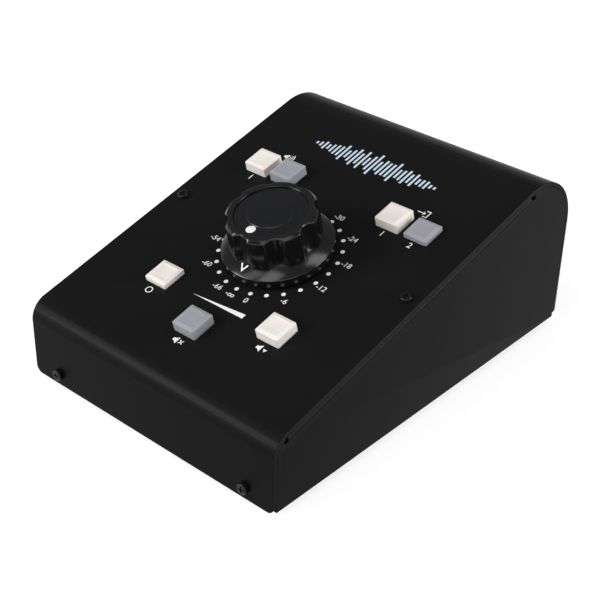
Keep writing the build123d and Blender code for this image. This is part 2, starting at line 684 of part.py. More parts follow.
def knob_disc():
    """Turned disc let into the grip, with a raised middle and a seat for the index dot."""
    disc = turned([
        (0, DISC_SEAT), (DISC_RADIUS, DISC_SEAT), (DISC_RADIUS, DISC_LEVEL),
        (BOSS_RADIUS, DISC_LEVEL), (BOSS_RADIUS - BOSS_BEVEL, BOSS_LEVEL), (0, BOSS_LEVEL)])
    return disc - Pos(0, -DOT_CIRCLE, 0) * post(DOT_RADIUS, DISC_LEVEL - DOT_DEPTH, FAR)


def index_dot():
    dot = post(DOT_RADIUS, DISC_LEVEL - DOT_DEPTH, DISC_LEVEL + EPS)
    return Pos(0, -DOT_CIRCLE, 0) * dot


# ------------------------------------------------------------------ rear sockets
def socket_screw_places():
    yield -XLR_SCREW_U, XLR_SCREW_V
    yield XLR_SCREW_U, -XLR_SCREW_V


def contact_places():
    for angle in CONTACT_PIN_ANGLES:
        yield CONTACT_PIN_CIRCLE * cos(radians(angle)), CONTACT_PIN_CIRCLE * sin(radians(angle))


def xlr_shell():
    """Flanged die-cast shell of a male three-pin socket."""
    flange = extrude(RectangleRounded(*XLR_FLANGE, XLR_FLANGE_CORNER), XLR_FLANGE_THICKNESS)
    flange = chamfer(flange.edges().group_by(Axis.Z)[-1], XLR_FLANGE_CHAMFER)
    shell = flange + post(XLR_BARREL, -XLR_BARREL_DEPTH, 0)
    shell -= post(XLR_BORE, -FAR, FAR)
    key_width, key_depth = XLR_KEY
    keyway = Box(key_width, 2 * key_depth, FAR)
    shell -= Pos(0, XLR_BORE, 0) * keyway
    for u, v in socket_screw_places():
        shell -= Pos(u, v, 0) * Cylinder(SCREW_HOLE, 4 * XLR_FLANGE_THICKNESS)
    return shell


def xlr_insert():
    """Insulating disc that holds the three pins."""
    disc = post(XLR_BORE - INSERT_FIT, INSERT_BOTTOM, INSERT_TOP)
    for u, v in contact_places():
        disc -= Pos(u, v, 0) * Cylinder(CONTACT_PIN_RADIUS + INSERT_FIT, FAR)
    return disc


def contact_pin():
    pin = post(CONTACT_PIN_RADIUS, CONTACT_PIN_BOTTOM, CONTACT_PIN_TOP)
    return fillet(pin.edges().sort_by(Axis.Z)[-1], CONTACT_PIN_ROUND)


def input_jack():
    """Jack socket: moulded body behind the panel, threaded bush through it, open bore."""
    size_u, size_v, depth = JACK_BODY
    body = block(size_u, size_v, -SHEET - depth, -SHEET)
    body = chamfer(body.edges().filter_by(Axis.Z), JACK_CHAMFER)
    body += post(BUSH_RADIUS, -SHEET - OVERRUN, JACK_BUSH_OUT)
    return body - post(JACK_BORE, JACK_BUSH_OUT - JACK_BORE_DEPTH, JACK_BUSH_OUT + OVERRUN)


def rear_board():
    """Upright board behind the sockets, pierced by the twelve socket pins."""
    board = extrude(RectangleRounded(*REAR_BOARD_SIZE, BOARD_CORNER), -BOARD_THICKNESS)
    board = Pos(0, REAR_BOARD_Z, REAR_BOARD_TOP) * board
    for x in SOCKET_XS:
        for u, v in contact_places():
            hole = Cylinder(CONTACT_PIN_RADIUS + INSERT_FIT, 4 * BOARD_THICKNESS)
            board -= Pos(x + u, XLR_Z + v, REAR_BOARD_TOP) * hole
    return placed(REAR, board)


def sockets():
    """All the parts of the rear sockets, by sub-part name."""
    parts = {}
    names = ("output_1_left", "output_1_right", "output_2_left", "output_2_right")
    for name, x in zip(names, SOCKET_XS):
        parts[f"{name}_socket"] = placed(REAR, xlr_shell(), x, XLR_Z)
    names = ("input_1_left", "input_1_right", "input_2_left", "input_2_right")
    for name, x in zip(names, SOCKET_XS):
        parts[f"{name}_jack"] = placed(REAR, input_jack(), x, JACK_Z)
    parts["socket_inserts"] = group(placed(REAR, xlr_insert(), x, XLR_Z) for x in SOCKET_XS)
    parts["socket_pins"] = group(placed(REAR, contact_pin(), x + u, XLR_Z + v)
                                 for x in SOCKET_XS for u, v in contact_places())
    length = XLR_FLANGE_THICKNESS + SHEET + NUT_HEIGHT + SCREW_END
    screw = pan_screw(length, XLR_FLANGE_THICKNESS)
    places = [(x + u, XLR_Z + v) for x in SOCKET_XS for u, v in socket_screw_places()]
    parts["socket_screws"] = group(placed(REAR, screw, u, v) for u, v in places)
    parts["socket_nuts"] = group(placed(REAR, hex_nut(-SHEET), u, v) for u, v in places)
    parts["rear_board"] = rear_board()
    return parts


# ------------------------------------------------------------------ ribbon between the boards
def ribbon_parts():
    """Flat ribbon from the switch board to the rear board, and the header at each end."""
    width, thickness, height = HEADER_SIZE
    header = block(width, thickness, -height, 0)
    board_under = BOARD_TOP - BOARD_THICKNESS
    rear_under = REAR_BOARD_TOP - BOARD_THICKNESS
    upper = placed(PANEL, header, 0, HEADER_V, board_under)
    lower = placed(REAR, header, 0, HEADER_Z - CASE_BOTTOM, rear_under)
    start = (PANEL.location * Pos(0, HEADER_V, board_under - height)).position
    end_y = REAR_Y + rear_under - height
    drop = start.Z - HEADER_Z
    corner_y = start.Y + drop * tan(radians(SLOPE))
    path = FilletPolyline((start.Y, start.Z), (corner_y, HEADER_Z), (end_y, HEADER_Z),
                          radius=RIBBON_BEND)
    ribbon = extrude(Plane.YZ * trace(path, RIBBON_THICKNESS), RIBBON_WIDTH / 2, both=True)
    ribbon -= [upper, lower]
    return ribbon, group([upper, lower])


# ------------------------------------------------------------------ whole model
def build():
    """Every sub-part by name, in the rest pose."""
    parts = {"cover": cover(), "base_plate": base_plate()}
    parts["cover_screws"] = cover_screws()
    parts["clinch_nuts"] = clinch_nuts()
    parts["rubber_feet"], parts["foot_screws"], parts["foot_nuts"] = foot_parts()
    parts["switch_board"] = switch_board()
    parts["board_pillars"], parts["board_screws"] = board_fixings()

    for name, (u, v, latched) in BUTTONS.items():
        rise = CAP_RISE - (LATCH_TRAVEL if latched else 0)
        parts[f"{name}_cap"] = placed(PANEL, button_cap(), u, v, rise)
        parts[f"{name}_plunger"] = placed(PANEL, plunger(), u, v, rise)
        parts[f"{name}_switch"] = placed(PANEL, latching_switch(), u, v)

    parts["attenuator_frame"] = placed(PANEL, attenuator_frame())
    parts["attenuator_wafers"] = placed(PANEL, wafers())
    contact = Pos(0, 0, CONTACT_SIZE[2] / 2) * Box(*CONTACT_SIZE)
    resistor = Pos(0, 0, RESISTOR_SIZE[2] / 2) * Box(*RESISTOR_SIZE)
    parts["attenuator_contacts"] = placed(PANEL, on_steps(contact, CONTACT_RADIUS, STEPS))
    parts["attenuator_resistors"] = placed(PANEL, on_steps(resistor, RESISTOR_RADIUS, STEPS - 1))
    parts["attenuator_rods"] = placed(PANEL, spacer_rods())
    parts["attenuator_rotor"] = placed(PANEL, rotor())
    parts["bush_washer"] = placed(PANEL, bush_washer())
    nuts = [placed(PANEL, bush_nut(), 0, 0, BUSH_WASHER)]
    nuts += [placed(REAR, bush_nut(), x, JACK_Z) for x in SOCKET_XS]
    parts["bush_nuts"] = group(nuts)

    parts["knob_grip"] = placed(PANEL, knob_grip())
    parts["knob_skirt"] = placed(PANEL, knob_skirt())
    parts["knob_disc"] = placed(PANEL, knob_disc())
    parts["knob_index_dot"] = placed(PANEL, index_dot())
    parts["knob_bushing"] = placed(PANEL, knob_bushing())
    parts["knob_grub_screw"] = placed(PANEL, grub_screw())

    parts.update(sockets())
    parts["link_ribbon"], parts["link_headers"] = ribbon_parts()
    return parts


os.makedirs("parts", exist_ok=True)
for node, shape in build().items():
    export_step(shape, f"parts/{node}.step")
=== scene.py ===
# %% [markdown]
# # A studio monitor controller, finished for its portrait
#
# The object is a desktop box that sets the loudness of a pair of studio loudspeakers: a folded
# steel case with a sloped top, one large stepped knob and seven square push buttons. Its
# construction arrives as a finished frame, in metres, and nothing in that frame is moved. This
# lesson adds what a maker adds last: the fine roundness of the plastics, the printing and the
# finish of every surface.

# %% Load the frame and keep its size
import json
from math import acos, cos, degrees, pi, radians, sin, sqrt, tan

import bmesh
import bpy
from mathutils import Matrix, Vector


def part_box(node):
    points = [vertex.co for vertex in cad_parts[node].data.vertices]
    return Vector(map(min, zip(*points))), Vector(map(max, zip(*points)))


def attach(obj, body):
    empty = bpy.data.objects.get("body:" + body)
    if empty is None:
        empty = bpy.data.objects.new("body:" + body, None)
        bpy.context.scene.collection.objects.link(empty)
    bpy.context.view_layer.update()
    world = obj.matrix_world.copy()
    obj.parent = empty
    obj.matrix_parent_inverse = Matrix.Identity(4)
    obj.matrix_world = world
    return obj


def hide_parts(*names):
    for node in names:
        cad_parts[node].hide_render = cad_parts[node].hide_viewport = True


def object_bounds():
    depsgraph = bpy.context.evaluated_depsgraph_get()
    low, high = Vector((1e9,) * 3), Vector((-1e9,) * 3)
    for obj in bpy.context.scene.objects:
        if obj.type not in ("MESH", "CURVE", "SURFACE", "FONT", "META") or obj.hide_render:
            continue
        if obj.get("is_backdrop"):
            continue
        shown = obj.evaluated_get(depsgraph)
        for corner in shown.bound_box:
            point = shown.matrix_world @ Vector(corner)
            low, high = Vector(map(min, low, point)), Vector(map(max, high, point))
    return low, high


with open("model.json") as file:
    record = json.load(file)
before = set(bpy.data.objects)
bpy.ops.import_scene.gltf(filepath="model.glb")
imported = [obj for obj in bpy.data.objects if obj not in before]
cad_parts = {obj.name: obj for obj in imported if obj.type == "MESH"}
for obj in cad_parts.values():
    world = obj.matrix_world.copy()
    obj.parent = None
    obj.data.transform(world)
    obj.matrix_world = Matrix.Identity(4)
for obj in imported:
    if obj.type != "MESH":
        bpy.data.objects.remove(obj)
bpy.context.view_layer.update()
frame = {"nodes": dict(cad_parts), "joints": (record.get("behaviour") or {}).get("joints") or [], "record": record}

MM = 0.001

# %% [markdown]
# ## The panel as a drawing board
#
# Everything that is printed or mounted on the sloped top is easiest to place in the panel's own
# directions: across, up the slope, and out of the surface. The knob's joint gives both the
# origin and the outward direction, so no number has to be measured twice.

# %% Directions on the sloped panel
joints = {joint["name"]: joint for joint in frame["joints"]}
knob_axis = Vector(joints["volume_turn"]["axis"]).normalized()
across = Vector((1, 0, 0))
up_slope = knob_axis.cross(across)
panel = Matrix((across, up_slope, knob_axis)).transposed().to_4x4()
panel.translation = Vector(joints["volume_turn"]["pos_m"])
slope = acos(knob_axis.z)
print("panel slope, degrees:", round(degrees(slope), 2))

# %% [markdown]
# ## The camera
#
# A long lens at rather more than half a metre flattens the perspective, as product pictures do.
# The camera is set by where it stands, the point on the panel that it aims at, and a slight
# roll.

# %% Set up the camera
CAMERA_PLACE = Vector((354.35, -412.2, 367.5)) * MM
CAMERA_AIM = Vector((29.26, -39.9, 58.66)) * MM
CAMERA_ROLL = radians(1.28)
LENS = 80.39

camera_data = bpy.data.cameras.new("camera")
camera_data.lens = LENS
camera = bpy.data.objects.new("camera", camera_data)
bpy.context.scene.collection.objects.link(camera)
camera.location = CAMERA_PLACE
sight = (CAMERA_AIM - CAMERA_PLACE).to_track_quat("-Z", "Y").to_matrix().to_4x4()
camera.rotation_euler = (sight @ Matrix.Rotation(CAMERA_ROLL, 4, "Z")).to_euler()
bpy.context.scene.camera = camera
bpy.context.scene.view_settings.view_transform = "Standard"
print("camera stands", round((CAMERA_AIM - CAMERA_PLACE).length, 3), "m from its aim")

# %% [markdown]
# ## Shader and geometry trees written as sums
#
# Node trees are clear on a screen but long-winded in a script. One small class wraps a socket
# and gives it ordinary arithmetic, so that `1 - mask` adds the Math node behind the scenes. A
# second class makes any other node in one call: its settings first, then its sockets.


# %% A socket with arithmetic, and a bench to wire nodes on
class Wire:
    """An output socket of a node, with arithmetic that adds Math nodes behind it."""

    def __init__(self, bench, socket):
        self.bench = bench
        self.socket = socket

    def maths(self, operation, *values):
        return self.bench.node("ShaderNodeMath", {"operation": operation}, dict(enumerate(values)))

    def __add__(self, other):
        return self.maths("ADD", self, other)

    __radd__ = __add__

    def __sub__(self, other):
        return self.maths("SUBTRACT", self, other)

    def __rsub__(self, other):
        return self.maths("SUBTRACT", other, self)

    def __mul__(self, other):
        return self.maths("MULTIPLY", self, other)

    def __truediv__(self, other):
        return self.maths("DIVIDE", self, other)

    def __rtruediv__(self, other):
        return self.maths("DIVIDE", other, self)

    def __pow__(self, other):
        return self.maths("POWER", self, other)

    def __abs__(self):
        return self.maths("ABSOLUTE", self)

    def maximum(self, level):
        return self.maths("MAXIMUM", self, level)

    def sine(self):
        return self.maths("SINE", self)


class Bench:
    """A node tree being wired."""

    def __init__(self, tree):
        self.tree = tree

    def node(self, kind, settings=None, sockets=None, out=0):
        """Adds a node, sets it up, fills its sockets and returns one output."""
        made = self.tree.nodes.new(kind)
        for name, value in (settings or {}).items():
            setattr(made, name, value)
        for key, value in (sockets or {}).items():
            self.feed(made.inputs[key], value)
        return Wire(self, made.outputs[out])

    def parts(self, point):
        """The x, y and z of a vector."""
        split = self.node("ShaderNodeSeparateXYZ", None, {0: point}).socket.node
        return [Wire(self, output) for output in split.outputs]

    def feed(self, socket, value):
        if isinstance(value, Wire):
            self.tree.links.new(value.socket, socket)
        else:
            socket.default_value = value


print("wires and benches ready")

# %% [markdown]
# ## Helpers for every finish
#
# Paint, moulded plastic and turned metal differ in the same few things: how the colour drifts,
# how rough the surface is, and how it is broken up at the finest scale. Each helper below adds
# one of these in real millimetres, read from the object's own coordinates, so that a pattern
# has the same size on a screw as on the case.


# %% Colour drift, grain and relief
def object_point(bench):
    return bench.node("ShaderNodeTexCoord", out="Object")


def grain(bench, size_mm, detail, point=None):
    """Noise whose spots are about size_mm across, from 0 to 1."""
    sockets = {"Vector": point or object_point(bench), "Scale": 1 / (size_mm * MM),
               "Detail": detail}
    return bench.node("ShaderNodeTexNoise", None, sockets)


def blend(bench, mask, first, second):
    """A colour that goes from first to second with the mask."""
    sockets = {0: mask, 6: (*first, 1), 7: (*second, 1)}
    return bench.node("ShaderNodeMix", {"data_type": "RGBA"}, sockets, out=2)


def relief(bench, height, depth_mm, strength, normal=None):
    """A surface lifted by a height of 0 to 1, depth_mm high."""
    sockets = {"Height": height, "Distance": depth_mm * MM, "Strength": strength}
    if normal:
        sockets["Normal"] = normal
    return bench.node("ShaderNodeBump", None, sockets)


def eased_edges(bench, radius_mm):
    """Normals that round off every sharp edge by a small radius."""
    return bench.node("ShaderNodeBevel", {"samples": 4}, {"Radius": radius_mm * MM})


finishes = {}


def finish(name, write):
    """Keeps a material whose principled shader is filled in by write(bench)."""
    material = bpy.data.materials.new(name)
    material.use_nodes = True
    bench = Bench(material.node_tree)
    shader = bench.tree.nodes["Principled BSDF"]
    for socket, value in write(bench).items():
        bench.feed(shader.inputs[socket], value)
    finishes[name] = material


print("finish helpers ready")

# %% [markdown]
# ## Powder coat on the case
#
# The cover is steel sheet with a satin black powder coat. Powder melts into a skin that is
# almost smooth: a slow orange peel about two millimetres across, with a finer grain on top. It
# reflects little, and the eye reads it as black only because its gloss is broad and weak. A
# lighter colour greys the sloped top and the upper part of its bends. It is partly fine dust that
# settles there and partly a painted highlight on the bends, and none of it reaches the steep sides.

# %% Powder coat and thin paint
POWDER_BLACK = (0.002, 0.002, 0.0021)
# Lighter shade of the coat: partly settled dust, partly a painted highlight on the bends
POWDER_DUST_AND_SHEEN = (0.0095, 0.0095, 0.0096)
DUST_AND_SHEEN_STARTS = 9.0


def panel_depth(bench):
    """How far a point lies below the sloped panel, in millimetres."""
    there = bench.node("ShaderNodeVectorMath", {"operation": "SUBTRACT"},
                       {0: object_point(bench), 1: panel.translation})
    outward = bench.node("ShaderNodeVectorMath", {"operation": "DOT_PRODUCT"},
                         {0: there, 1: knob_axis}, out="Value")
    return outward * (-1 / MM)


def powder_coat(bench):
    peel = grain(bench, 2.2, 1.0)
    fine = grain(bench, 0.28, 2.0)
    cloud = grain(bench, 55, 3.0)
    skin = relief(bench, peel * 0.35 + fine * 0.65, 0.012, 0.5, eased_edges(bench, 0.35))
    # Lighter colour down to a set depth below the panel: partly dust, partly a painted highlight on the upper
    # bends
    dust_and_sheen = bench.node("ShaderNodeMapRange", None,
                         {"Value": panel_depth(bench), "From Min": DUST_AND_SHEEN_STARTS, "From Max": 0.0})
    return {"Base Color": blend(bench, dust_and_sheen * (cloud * 0.5 + 0.6), POWDER_BLACK, POWDER_DUST_AND_SHEEN),
            "Roughness": cloud * 0.06 + fine * 0.08 + 0.29, "Normal": skin,
            "Specular IOR Level": 0.037}


def thin_paint(bench):
    fine = grain(bench, 0.4, 3.0)
    return {"Base Color": blend(bench, grain(bench, 30, 2.0), (0.012,) * 3, (0.022,) * 3),
            "Roughness": fine * 0.15 + 0.45,
            "Normal": relief(bench, fine, 0.01, 0.4, eased_edges(bench, 0.25))}


finish("black_powder_coat", powder_coat)
finish("black_sheet", thin_paint)
print("paints:", sorted(finishes))

# %% [markdown]
# ## Moulded plastics
#
# The button caps are moulded with a fine satin grain, cream or blue-grey. The knob is the same
# process in a polished tool, so it is glossy, with the faint unevenness that handling leaves.


# %% Plastics
def satin_plastic(dark, light):
    """Satin moulding whose colour drifts between two close shades."""
    def write(bench):
        fine = grain(bench, 0.16, 2.0)
        cloud = grain(bench, 6, 3.0)
        return {"Base Color": blend(bench, cloud, dark, light),
                "Roughness": fine * 0.1 + 0.34,
                "Normal": relief(bench, fine, 0.006, 0.35),
                "Subsurface Weight": 0.35, "Subsurface Scale": 1.2 * MM}
    return write


def hard_plastic(dark, light, roughness):
    """Plain moulding for sockets, switches and other working parts."""
    def write(bench):
        fine = grain(bench, 0.3, 2.0)
        return {"Base Color": blend(bench, grain(bench, 4, 3.0), dark, light),
                "Roughness": fine * 0.12 + roughness,
                "Normal": relief(bench, fine, 0.008, 0.4, eased_edges(bench, 0.2))}
    return write


def polished_black(bench):
    smear = grain(bench, 7, 4.0)
    fine = grain(bench, 0.5, 2.0)
    return {"Base Color": blend(bench, smear, (0.004,) * 3, (0.0065,) * 3),
            "Roughness": smear * 0.05 + fine * 0.02 + 0.1,
            "Normal": relief(bench, fine, 0.001, 0.2)}


finish("cream_plastic", satin_plastic((0.79, 0.745, 0.69), (0.83, 0.79, 0.74)))
finish("blue_grey_plastic", satin_plastic((0.3, 0.308, 0.336), (0.325, 0.334, 0.366)))
finish("white_plastic", satin_plastic((0.7,) * 3, (0.76,) * 3))
finish("dark_plastic", hard_plastic((0.012,) * 3, (0.022,) * 3, 0.36))
finish("gloss_black", polished_black)
finish("chip_resistor", hard_plastic((0.006,) * 3, (0.014,) * 3, 0.15))
finish("circuit_board", hard_plastic((0.01, 0.07, 0.03), (0.015, 0.1, 0.045), 0.25))
finish("wafer_laminate", hard_plastic((0.11, 0.045, 0.016), (0.2, 0.09, 0.035), 0.4))
finish("grey_ribbon", hard_plastic((0.2,) * 3, (0.27,) * 3, 0.45))
print("paints and plastics:", len(finishes))

# %% [markdown]
# ## Metals, rubber and printing ink
#
# Plated and turned metals take their character from fine scratches that run one way, and
# rubber from its dull bloom. Screen-printed ink stands a little above the paint and is never
# quite even, so it gets a grain of its own.


# %% Metals, rubber and ink
def plated(dark, light, roughness, metallic=1.0, gloss=0.5):
    """Plated or turned metal with fine scratches across it; gloss is its specular level."""
    def write(bench):
        stretched = bench.node("ShaderNodeMapping", {"vector_type": "POINT"},
                               {"Vector": object_point(bench), "Scale": (0.08, 1.0, 1.0)})
        scratch = grain(bench, 0.12, 3.0, stretched)
        return {"Base Color": blend(bench, grain(bench, 3, 3.0), dark, light),
                "Metallic": metallic, "Roughness": scratch * 0.2 + roughness,
                "Normal": relief(bench, scratch, 0.003, 0.4, eased_edges(bench, 0.15)),
                "Specular IOR Level": gloss}
    return write


def rubber(bench):
    bloom = grain(bench, 3.5, 4.0)
    fine = grain(bench, 0.25, 2.0)
    return {"Base Color": blend(bench, bloom, (0.009,) * 3, (0.018,) * 3),
            "Roughness": fine * 0.1 + 0.7, "Normal": relief(bench, fine, 0.02, 0.5)}


def printing_ink(dark, light):
    def write(bench):
        fine = grain(bench, 0.2, 3.0)
        return {"Base Color": blend(bench, fine, dark, light), "Roughness": fine * 0.15 + 0.45,
                "Normal": relief(bench, fine, 0.004, 0.3)}
    return write


ZINC = ((0.42, 0.42, 0.4), (0.58, 0.58, 0.55))
finish("black_screw", plated((0.005,) * 3, (0.012,) * 3, 0.16, 0.2, 0.2))
finish("socket_casting", plated((0.018,) * 3, (0.035,) * 3, 0.4, 0.2))
finish("zinc_steel", plated(*ZINC, 0.2))
finish("ground_steel", plated(*ZINC, 0.12))
finish("turned_brass", plated((0.5, 0.33, 0.11), (0.66, 0.46, 0.18), 0.15))
finish("silvered_brass", plated((0.6, 0.55, 0.42), (0.72, 0.67, 0.55), 0.2))
finish("gold_pin", plated((0.7, 0.48, 0.17), (0.85, 0.62, 0.27), 0.12))
finish("black_rubber", rubber)
finish("white_inlay", printing_ink((0.78,) * 3, (0.86,) * 3))
finish("pale_blue_ink", printing_ink((0.5, 0.6, 0.72), (0.6, 0.7, 0.82)))
print("finishes:", len(finishes))

# %% [markdown]
# ## Turned rings on the knob
#
# The disc on top of the knob was faced on a lathe and anodised black, and the mould of the skirt
# was turned too. The tool leaves circles around the axis, so these finishes first move and turn
# the coordinates into the knob's own frame, and then let everything depend on the distance from
# its middle.


# %% Turned finishes
def distance_line(bench):
    """Coordinates that change only with the distance from the knob's axis."""
    knob_frame = {"Vector": object_point(bench), "Location": panel.translation,
                  "Rotation": (slope, 0, 0)}
    local = bench.node("ShaderNodeMapping", {"vector_type": "TEXTURE"}, knob_frame)
    x, y, level = bench.parts(local)
    return bench.node("ShaderNodeCombineXYZ", None, {"X": (x * x + y * y) ** 0.5})


def turned_anodised(bench):
    line = distance_line(bench)
    groove = grain(bench, 0.22, 3.0, line)
    broad = grain(bench, 1.6, 1.0, line)
    return {"Base Color": blend(bench, broad, (0.0042, 0.0046, 0.0055), (0.006, 0.0064, 0.0074)),
            "Roughness": groove * 0.12 + 0.2, "Normal": relief(bench, groove, 0.004, 0.4),
            "Specular IOR Level": 0.4}


def turned_gloss(bench):
    groove = grain(bench, 0.5, 2.0, distance_line(bench))
    smear = grain(bench, 7, 4.0)
    return {"Base Color": blend(bench, smear, (0.004,) * 3, (0.0065,) * 3),
            "Roughness": groove * 0.08 + smear * 0.05 + 0.1,
            "Normal": relief(bench, groove, 0.014, 0.6)}


finish("black_anodised", turned_anodised)
finish("turned_gloss", turned_gloss)
print("the knob turns about", [round(value, 4) for value in panel.translation])

# %% [markdown]
# ## Dress the frame's own parts
#
# Every part of the frame is given the finish that its record names. The parts whose shape is
# already right, such as the base plate, the switches and the sockets, need nothing more.

# %% Give each frame node its finish
slot_of = {part["node"]: part["material_slot"] for part in frame["record"]["subparts"]}
for node, thing in frame["nodes"].items():
    thing.data.materials.clear()
    thing.data.materials.append(finishes[slot_of[node]])
print("dressed", len(slot_of), "nodes")

# %% [markdown]
# ## Building pieces from stacked loops
#
# Most pieces here are a stack of closed loops: a turned disc is a stack of circles, a button cap
# a stack of rounded squares, the fluted grip a stack of lobed outlines. One helper joins such
# loops with quads, and another rounds the corners of a turned profile. Where a hole or a seam has
# to be cut, as a drill or a saw would, the shape of the tool is taken out of the piece, and only
# the plain mesh that remains is kept.


# %% Loops, rounded profiles and pieces
CREASE = 35


def make_mesh(name, points, faces):
    """A mesh that shades smoothly, except at edges sharper than the crease angle."""
    mesh = bpy.data.meshes.new(name)
    mesh.from_pydata(points, [], faces)
    mesh.polygons.foreach_set("use_smooth", [True] * len(mesh.polygons))
    mesh.set_sharp_from_angle(angle=radians(CREASE))
    mesh.update()
    return mesh


def stacked(loops, joined=False):
    """Points and faces of a skin over equal loops, from the bottom up; joined makes a ring."""
    size = len(loops[0])
    points = [tuple(point) for loop in loops for point in loop]
    faces = []
    for level in range(len(loops) if joined else len(loops) - 1):
        low = level * size
        high = (level + 1) % len(loops) * size
        for number in range(size):
            following = (number + 1) % size
            faces.append((low + number, low + following, high + following, high + number))
    if not joined:
        faces += [tuple(reversed(range(size))), tuple(range(len(points) - size, len(points)))]
    return points, faces


def rounded_path(corners, steps=5):
    """A path through (x, y, radius) corners, each replaced by an arc of its radius."""
    spots = [Vector(corner[:2]) for corner in corners]
    path = [spots[0]]
    for before, here, after, corner in zip(spots, spots[1:], spots[2:], corners[1:]):
        radius = corner[2]
        if not radius:
            path.append(here)
            continue
        arms = (before - here).normalized(), (after - here).normalized()
        half = arms[0].angle(arms[1]) / 2
        centre = here + (arms[0] + arms[1]).normalized() * (radius / sin(half))
        first, last = (here + arm * (radius / tan(half)) - centre for arm in arms)
        path += [centre + first.lerp(last, step / steps).normalized() * radius
                 for step in range(steps + 1)]
    return path + [spots[-1]]


def circle(radius, level, count=192):
    """Points round the axis at a level."""
    turns = [2 * pi * number / count for number in range(count)]
    return [(radius * cos(turn), radius * sin(turn), level) for turn in turns]


def gathered(shapes):
    """The points and faces of several shapes as one."""
    points, faces = [], []
    for shape_points, shape_faces in shapes:
        faces += [tuple(len(points) + index for index in face) for face in shape_faces]
        points += shape_points
    return points, faces


def add_piece(name, mesh, slot, body, stands_for=(), look=None):
    """An object whose mesh is already in its place, riding on a body; look is its finish."""
    mesh.materials.clear()
    mesh.materials.append(finishes[look or slot])
    thing = bpy.data.objects.new(name, mesh)
    bpy.context.scene.collection.objects.link(thing)
    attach(thing, body)
    if stands_for:
        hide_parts(*stands_for)


panel_mm = panel @ Matrix.Scale(MM, 4)


# %% Modifiers and booleans that leave a plain mesh
def changed(mesh, kind, settings):
    """The mesh after one modifier of a kind, with its settings."""
    carrier = bpy.data.objects.new("blank", mesh)
    bpy.context.scene.collection.objects.link(carrier)
    modifier = carrier.modifiers.new("change", kind)
    for name, value in settings.items():
        setattr(modifier, name, value)
    view = bpy.context.evaluated_depsgraph_get()
    result = bpy.data.meshes.new_from_object(carrier.evaluated_get(view))
    bpy.data.objects.remove(carrier)
    return result


def carved(mesh, tool_mesh, operation="DIFFERENCE"):
    """The mesh with a tool's shape cut out of it, or joined on to it."""
    tool = bpy.data.objects.new("tool", tool_mesh)
    bpy.context.scene.collection.objects.link(tool)
    result = changed(mesh, "BOOLEAN", {"object": tool, "operation": operation,
                                       "solver": "EXACT"})
    bpy.data.objects.remove(tool)
    return result


print("modifiers ready")

# %% [markdown]
# ## The wrapped sheet and its side cheeks
#
# One steel sheet wraps the front, the top and the rear, and its cut edge shows all round both
# sides. A cheek closes each side. It turns in under the top with a small bend, which starts a
# sheet's thickness below the panel and catches the light as a thin line. Relief holes keep the
# steel from tearing where that bend ends.
#
# A shop would cut both flat and fold them. The frame draws the cheeks in a simpler way, as flaps
# folded down from the top, so here a copy of its cover is reshaped. A bar squares each side edge
# of the top, a rim brings each cheek close to the inside of the wrap, and a groove cuts the seam
# and rounds the cheek below it. The large flat faces keep flat shading by weighted normals.

# %% Sizes of the case, in millimetres
SHEET = 2.0
FRONT_BEND = 10.6
REAR_BEND = 28.6
BEND_STEPS = 16
CHEEK_BEND = 3.2
CHEEK_STEPS = 12
CHEEK_GAP = 0.2
FRAME_GAP = 0.6
RELIEF_RADIUS = 1.5
OVERLAP = 0.3

case_low, case_high = (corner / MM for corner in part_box("cover"))
case_half = case_high.x


def panel_height(y, inset=0.0):
    """Height of the panel's skin at a depth, moved inward by an inset, in millimetres."""
    origin = panel.translation / MM
    return origin.z + (y - origin.y) * tan(slope) - inset / cos(slope)


def side_path(inset):
    """Side view of the case as (depth, height) points from the front over the top to the rear."""
    front, rear = case_low.y + inset, case_high.y - inset
    return rounded_path([
        (front, case_low.z, 0), (front, panel_height(front, inset), FRONT_BEND - inset),
        (rear, panel_height(rear, inset), REAR_BEND - inset), (rear, case_low.z, 0)], BEND_STEPS)


def slope_place(y, radius):
    """Place up the slope where a bend whose middle lies at depth y leaves the flat panel."""
    middle = Vector((0, y, panel_height(y, radius))) * MM
    return (panel.inverted() @ middle).y / MM


fold_start = slope_place(case_low.y + FRONT_BEND, FRONT_BEND) - RELIEF_RADIUS
fold_end = slope_place(case_high.y - REAR_BEND, REAR_BEND) + RELIEF_RADIUS
print("case", round(2 * case_half, 1), "mm wide, side folds", round(fold_end - fold_start, 1),
      "mm long")


# %% Shape the tools for the sides of the case
def along_slope(outline, start, end):
    """A bar up the slope whose section is an outline of (across, outward) points."""
    return stacked([[panel_mm @ Vector((u, v, n)) for u, n in outline] for v in (start, end)])


def across_case(outline, start, end):
    """A bar across the case whose section is an outline of (depth, height) points."""
    return stacked([[Vector((x, y, z)) * MM for y, z in outline] for x in (start, end)])


def both_sides(shape):
    """A mesh of the shape and its mirror image, with its faces turned outward."""
    mesh = make_mesh("tool", *shape)
    mirrored = mesh.copy()
    mirrored.transform(Matrix.Scale(-1, 4, across))
    pair = bmesh.new()
    for half in (mesh, mirrored):
        pair.from_mesh(half)
    bmesh.ops.recalc_face_normals(pair, faces=pair.faces)
    pair.to_mesh(mesh)
    pair.free()
    return mesh


fold_top = -SHEET - CHEEK_GAP / 2
fold_middle = Vector((case_half - CHEEK_BEND, fold_top - CHEEK_BEND))
groove = [(fold_middle.x, -SHEET), (case_half + OVERLAP, -SHEET),
          (case_half + OVERLAP, fold_middle.y)]
groove += [fold_middle + Vector((cos(angle), sin(angle))) * CHEEK_BEND
           for angle in (radians(90 * step / CHEEK_STEPS) for step in range(CHEEK_STEPS + 1))]
bar_inner = case_half - 2 * SHEET
edge_bar = [(bar_inner, -SHEET), (case_half, -SHEET), (case_half, 0), (bar_inner, 0)]
rim = side_path(SHEET + FRAME_GAP + OVERLAP) + side_path(SHEET + CHEEK_GAP)[::-1]
print("groove of", len(groove), "corners, rim of", len(rim))

# %% Reshape the sheet
MERGE_DISTANCE = 0.001 * MM

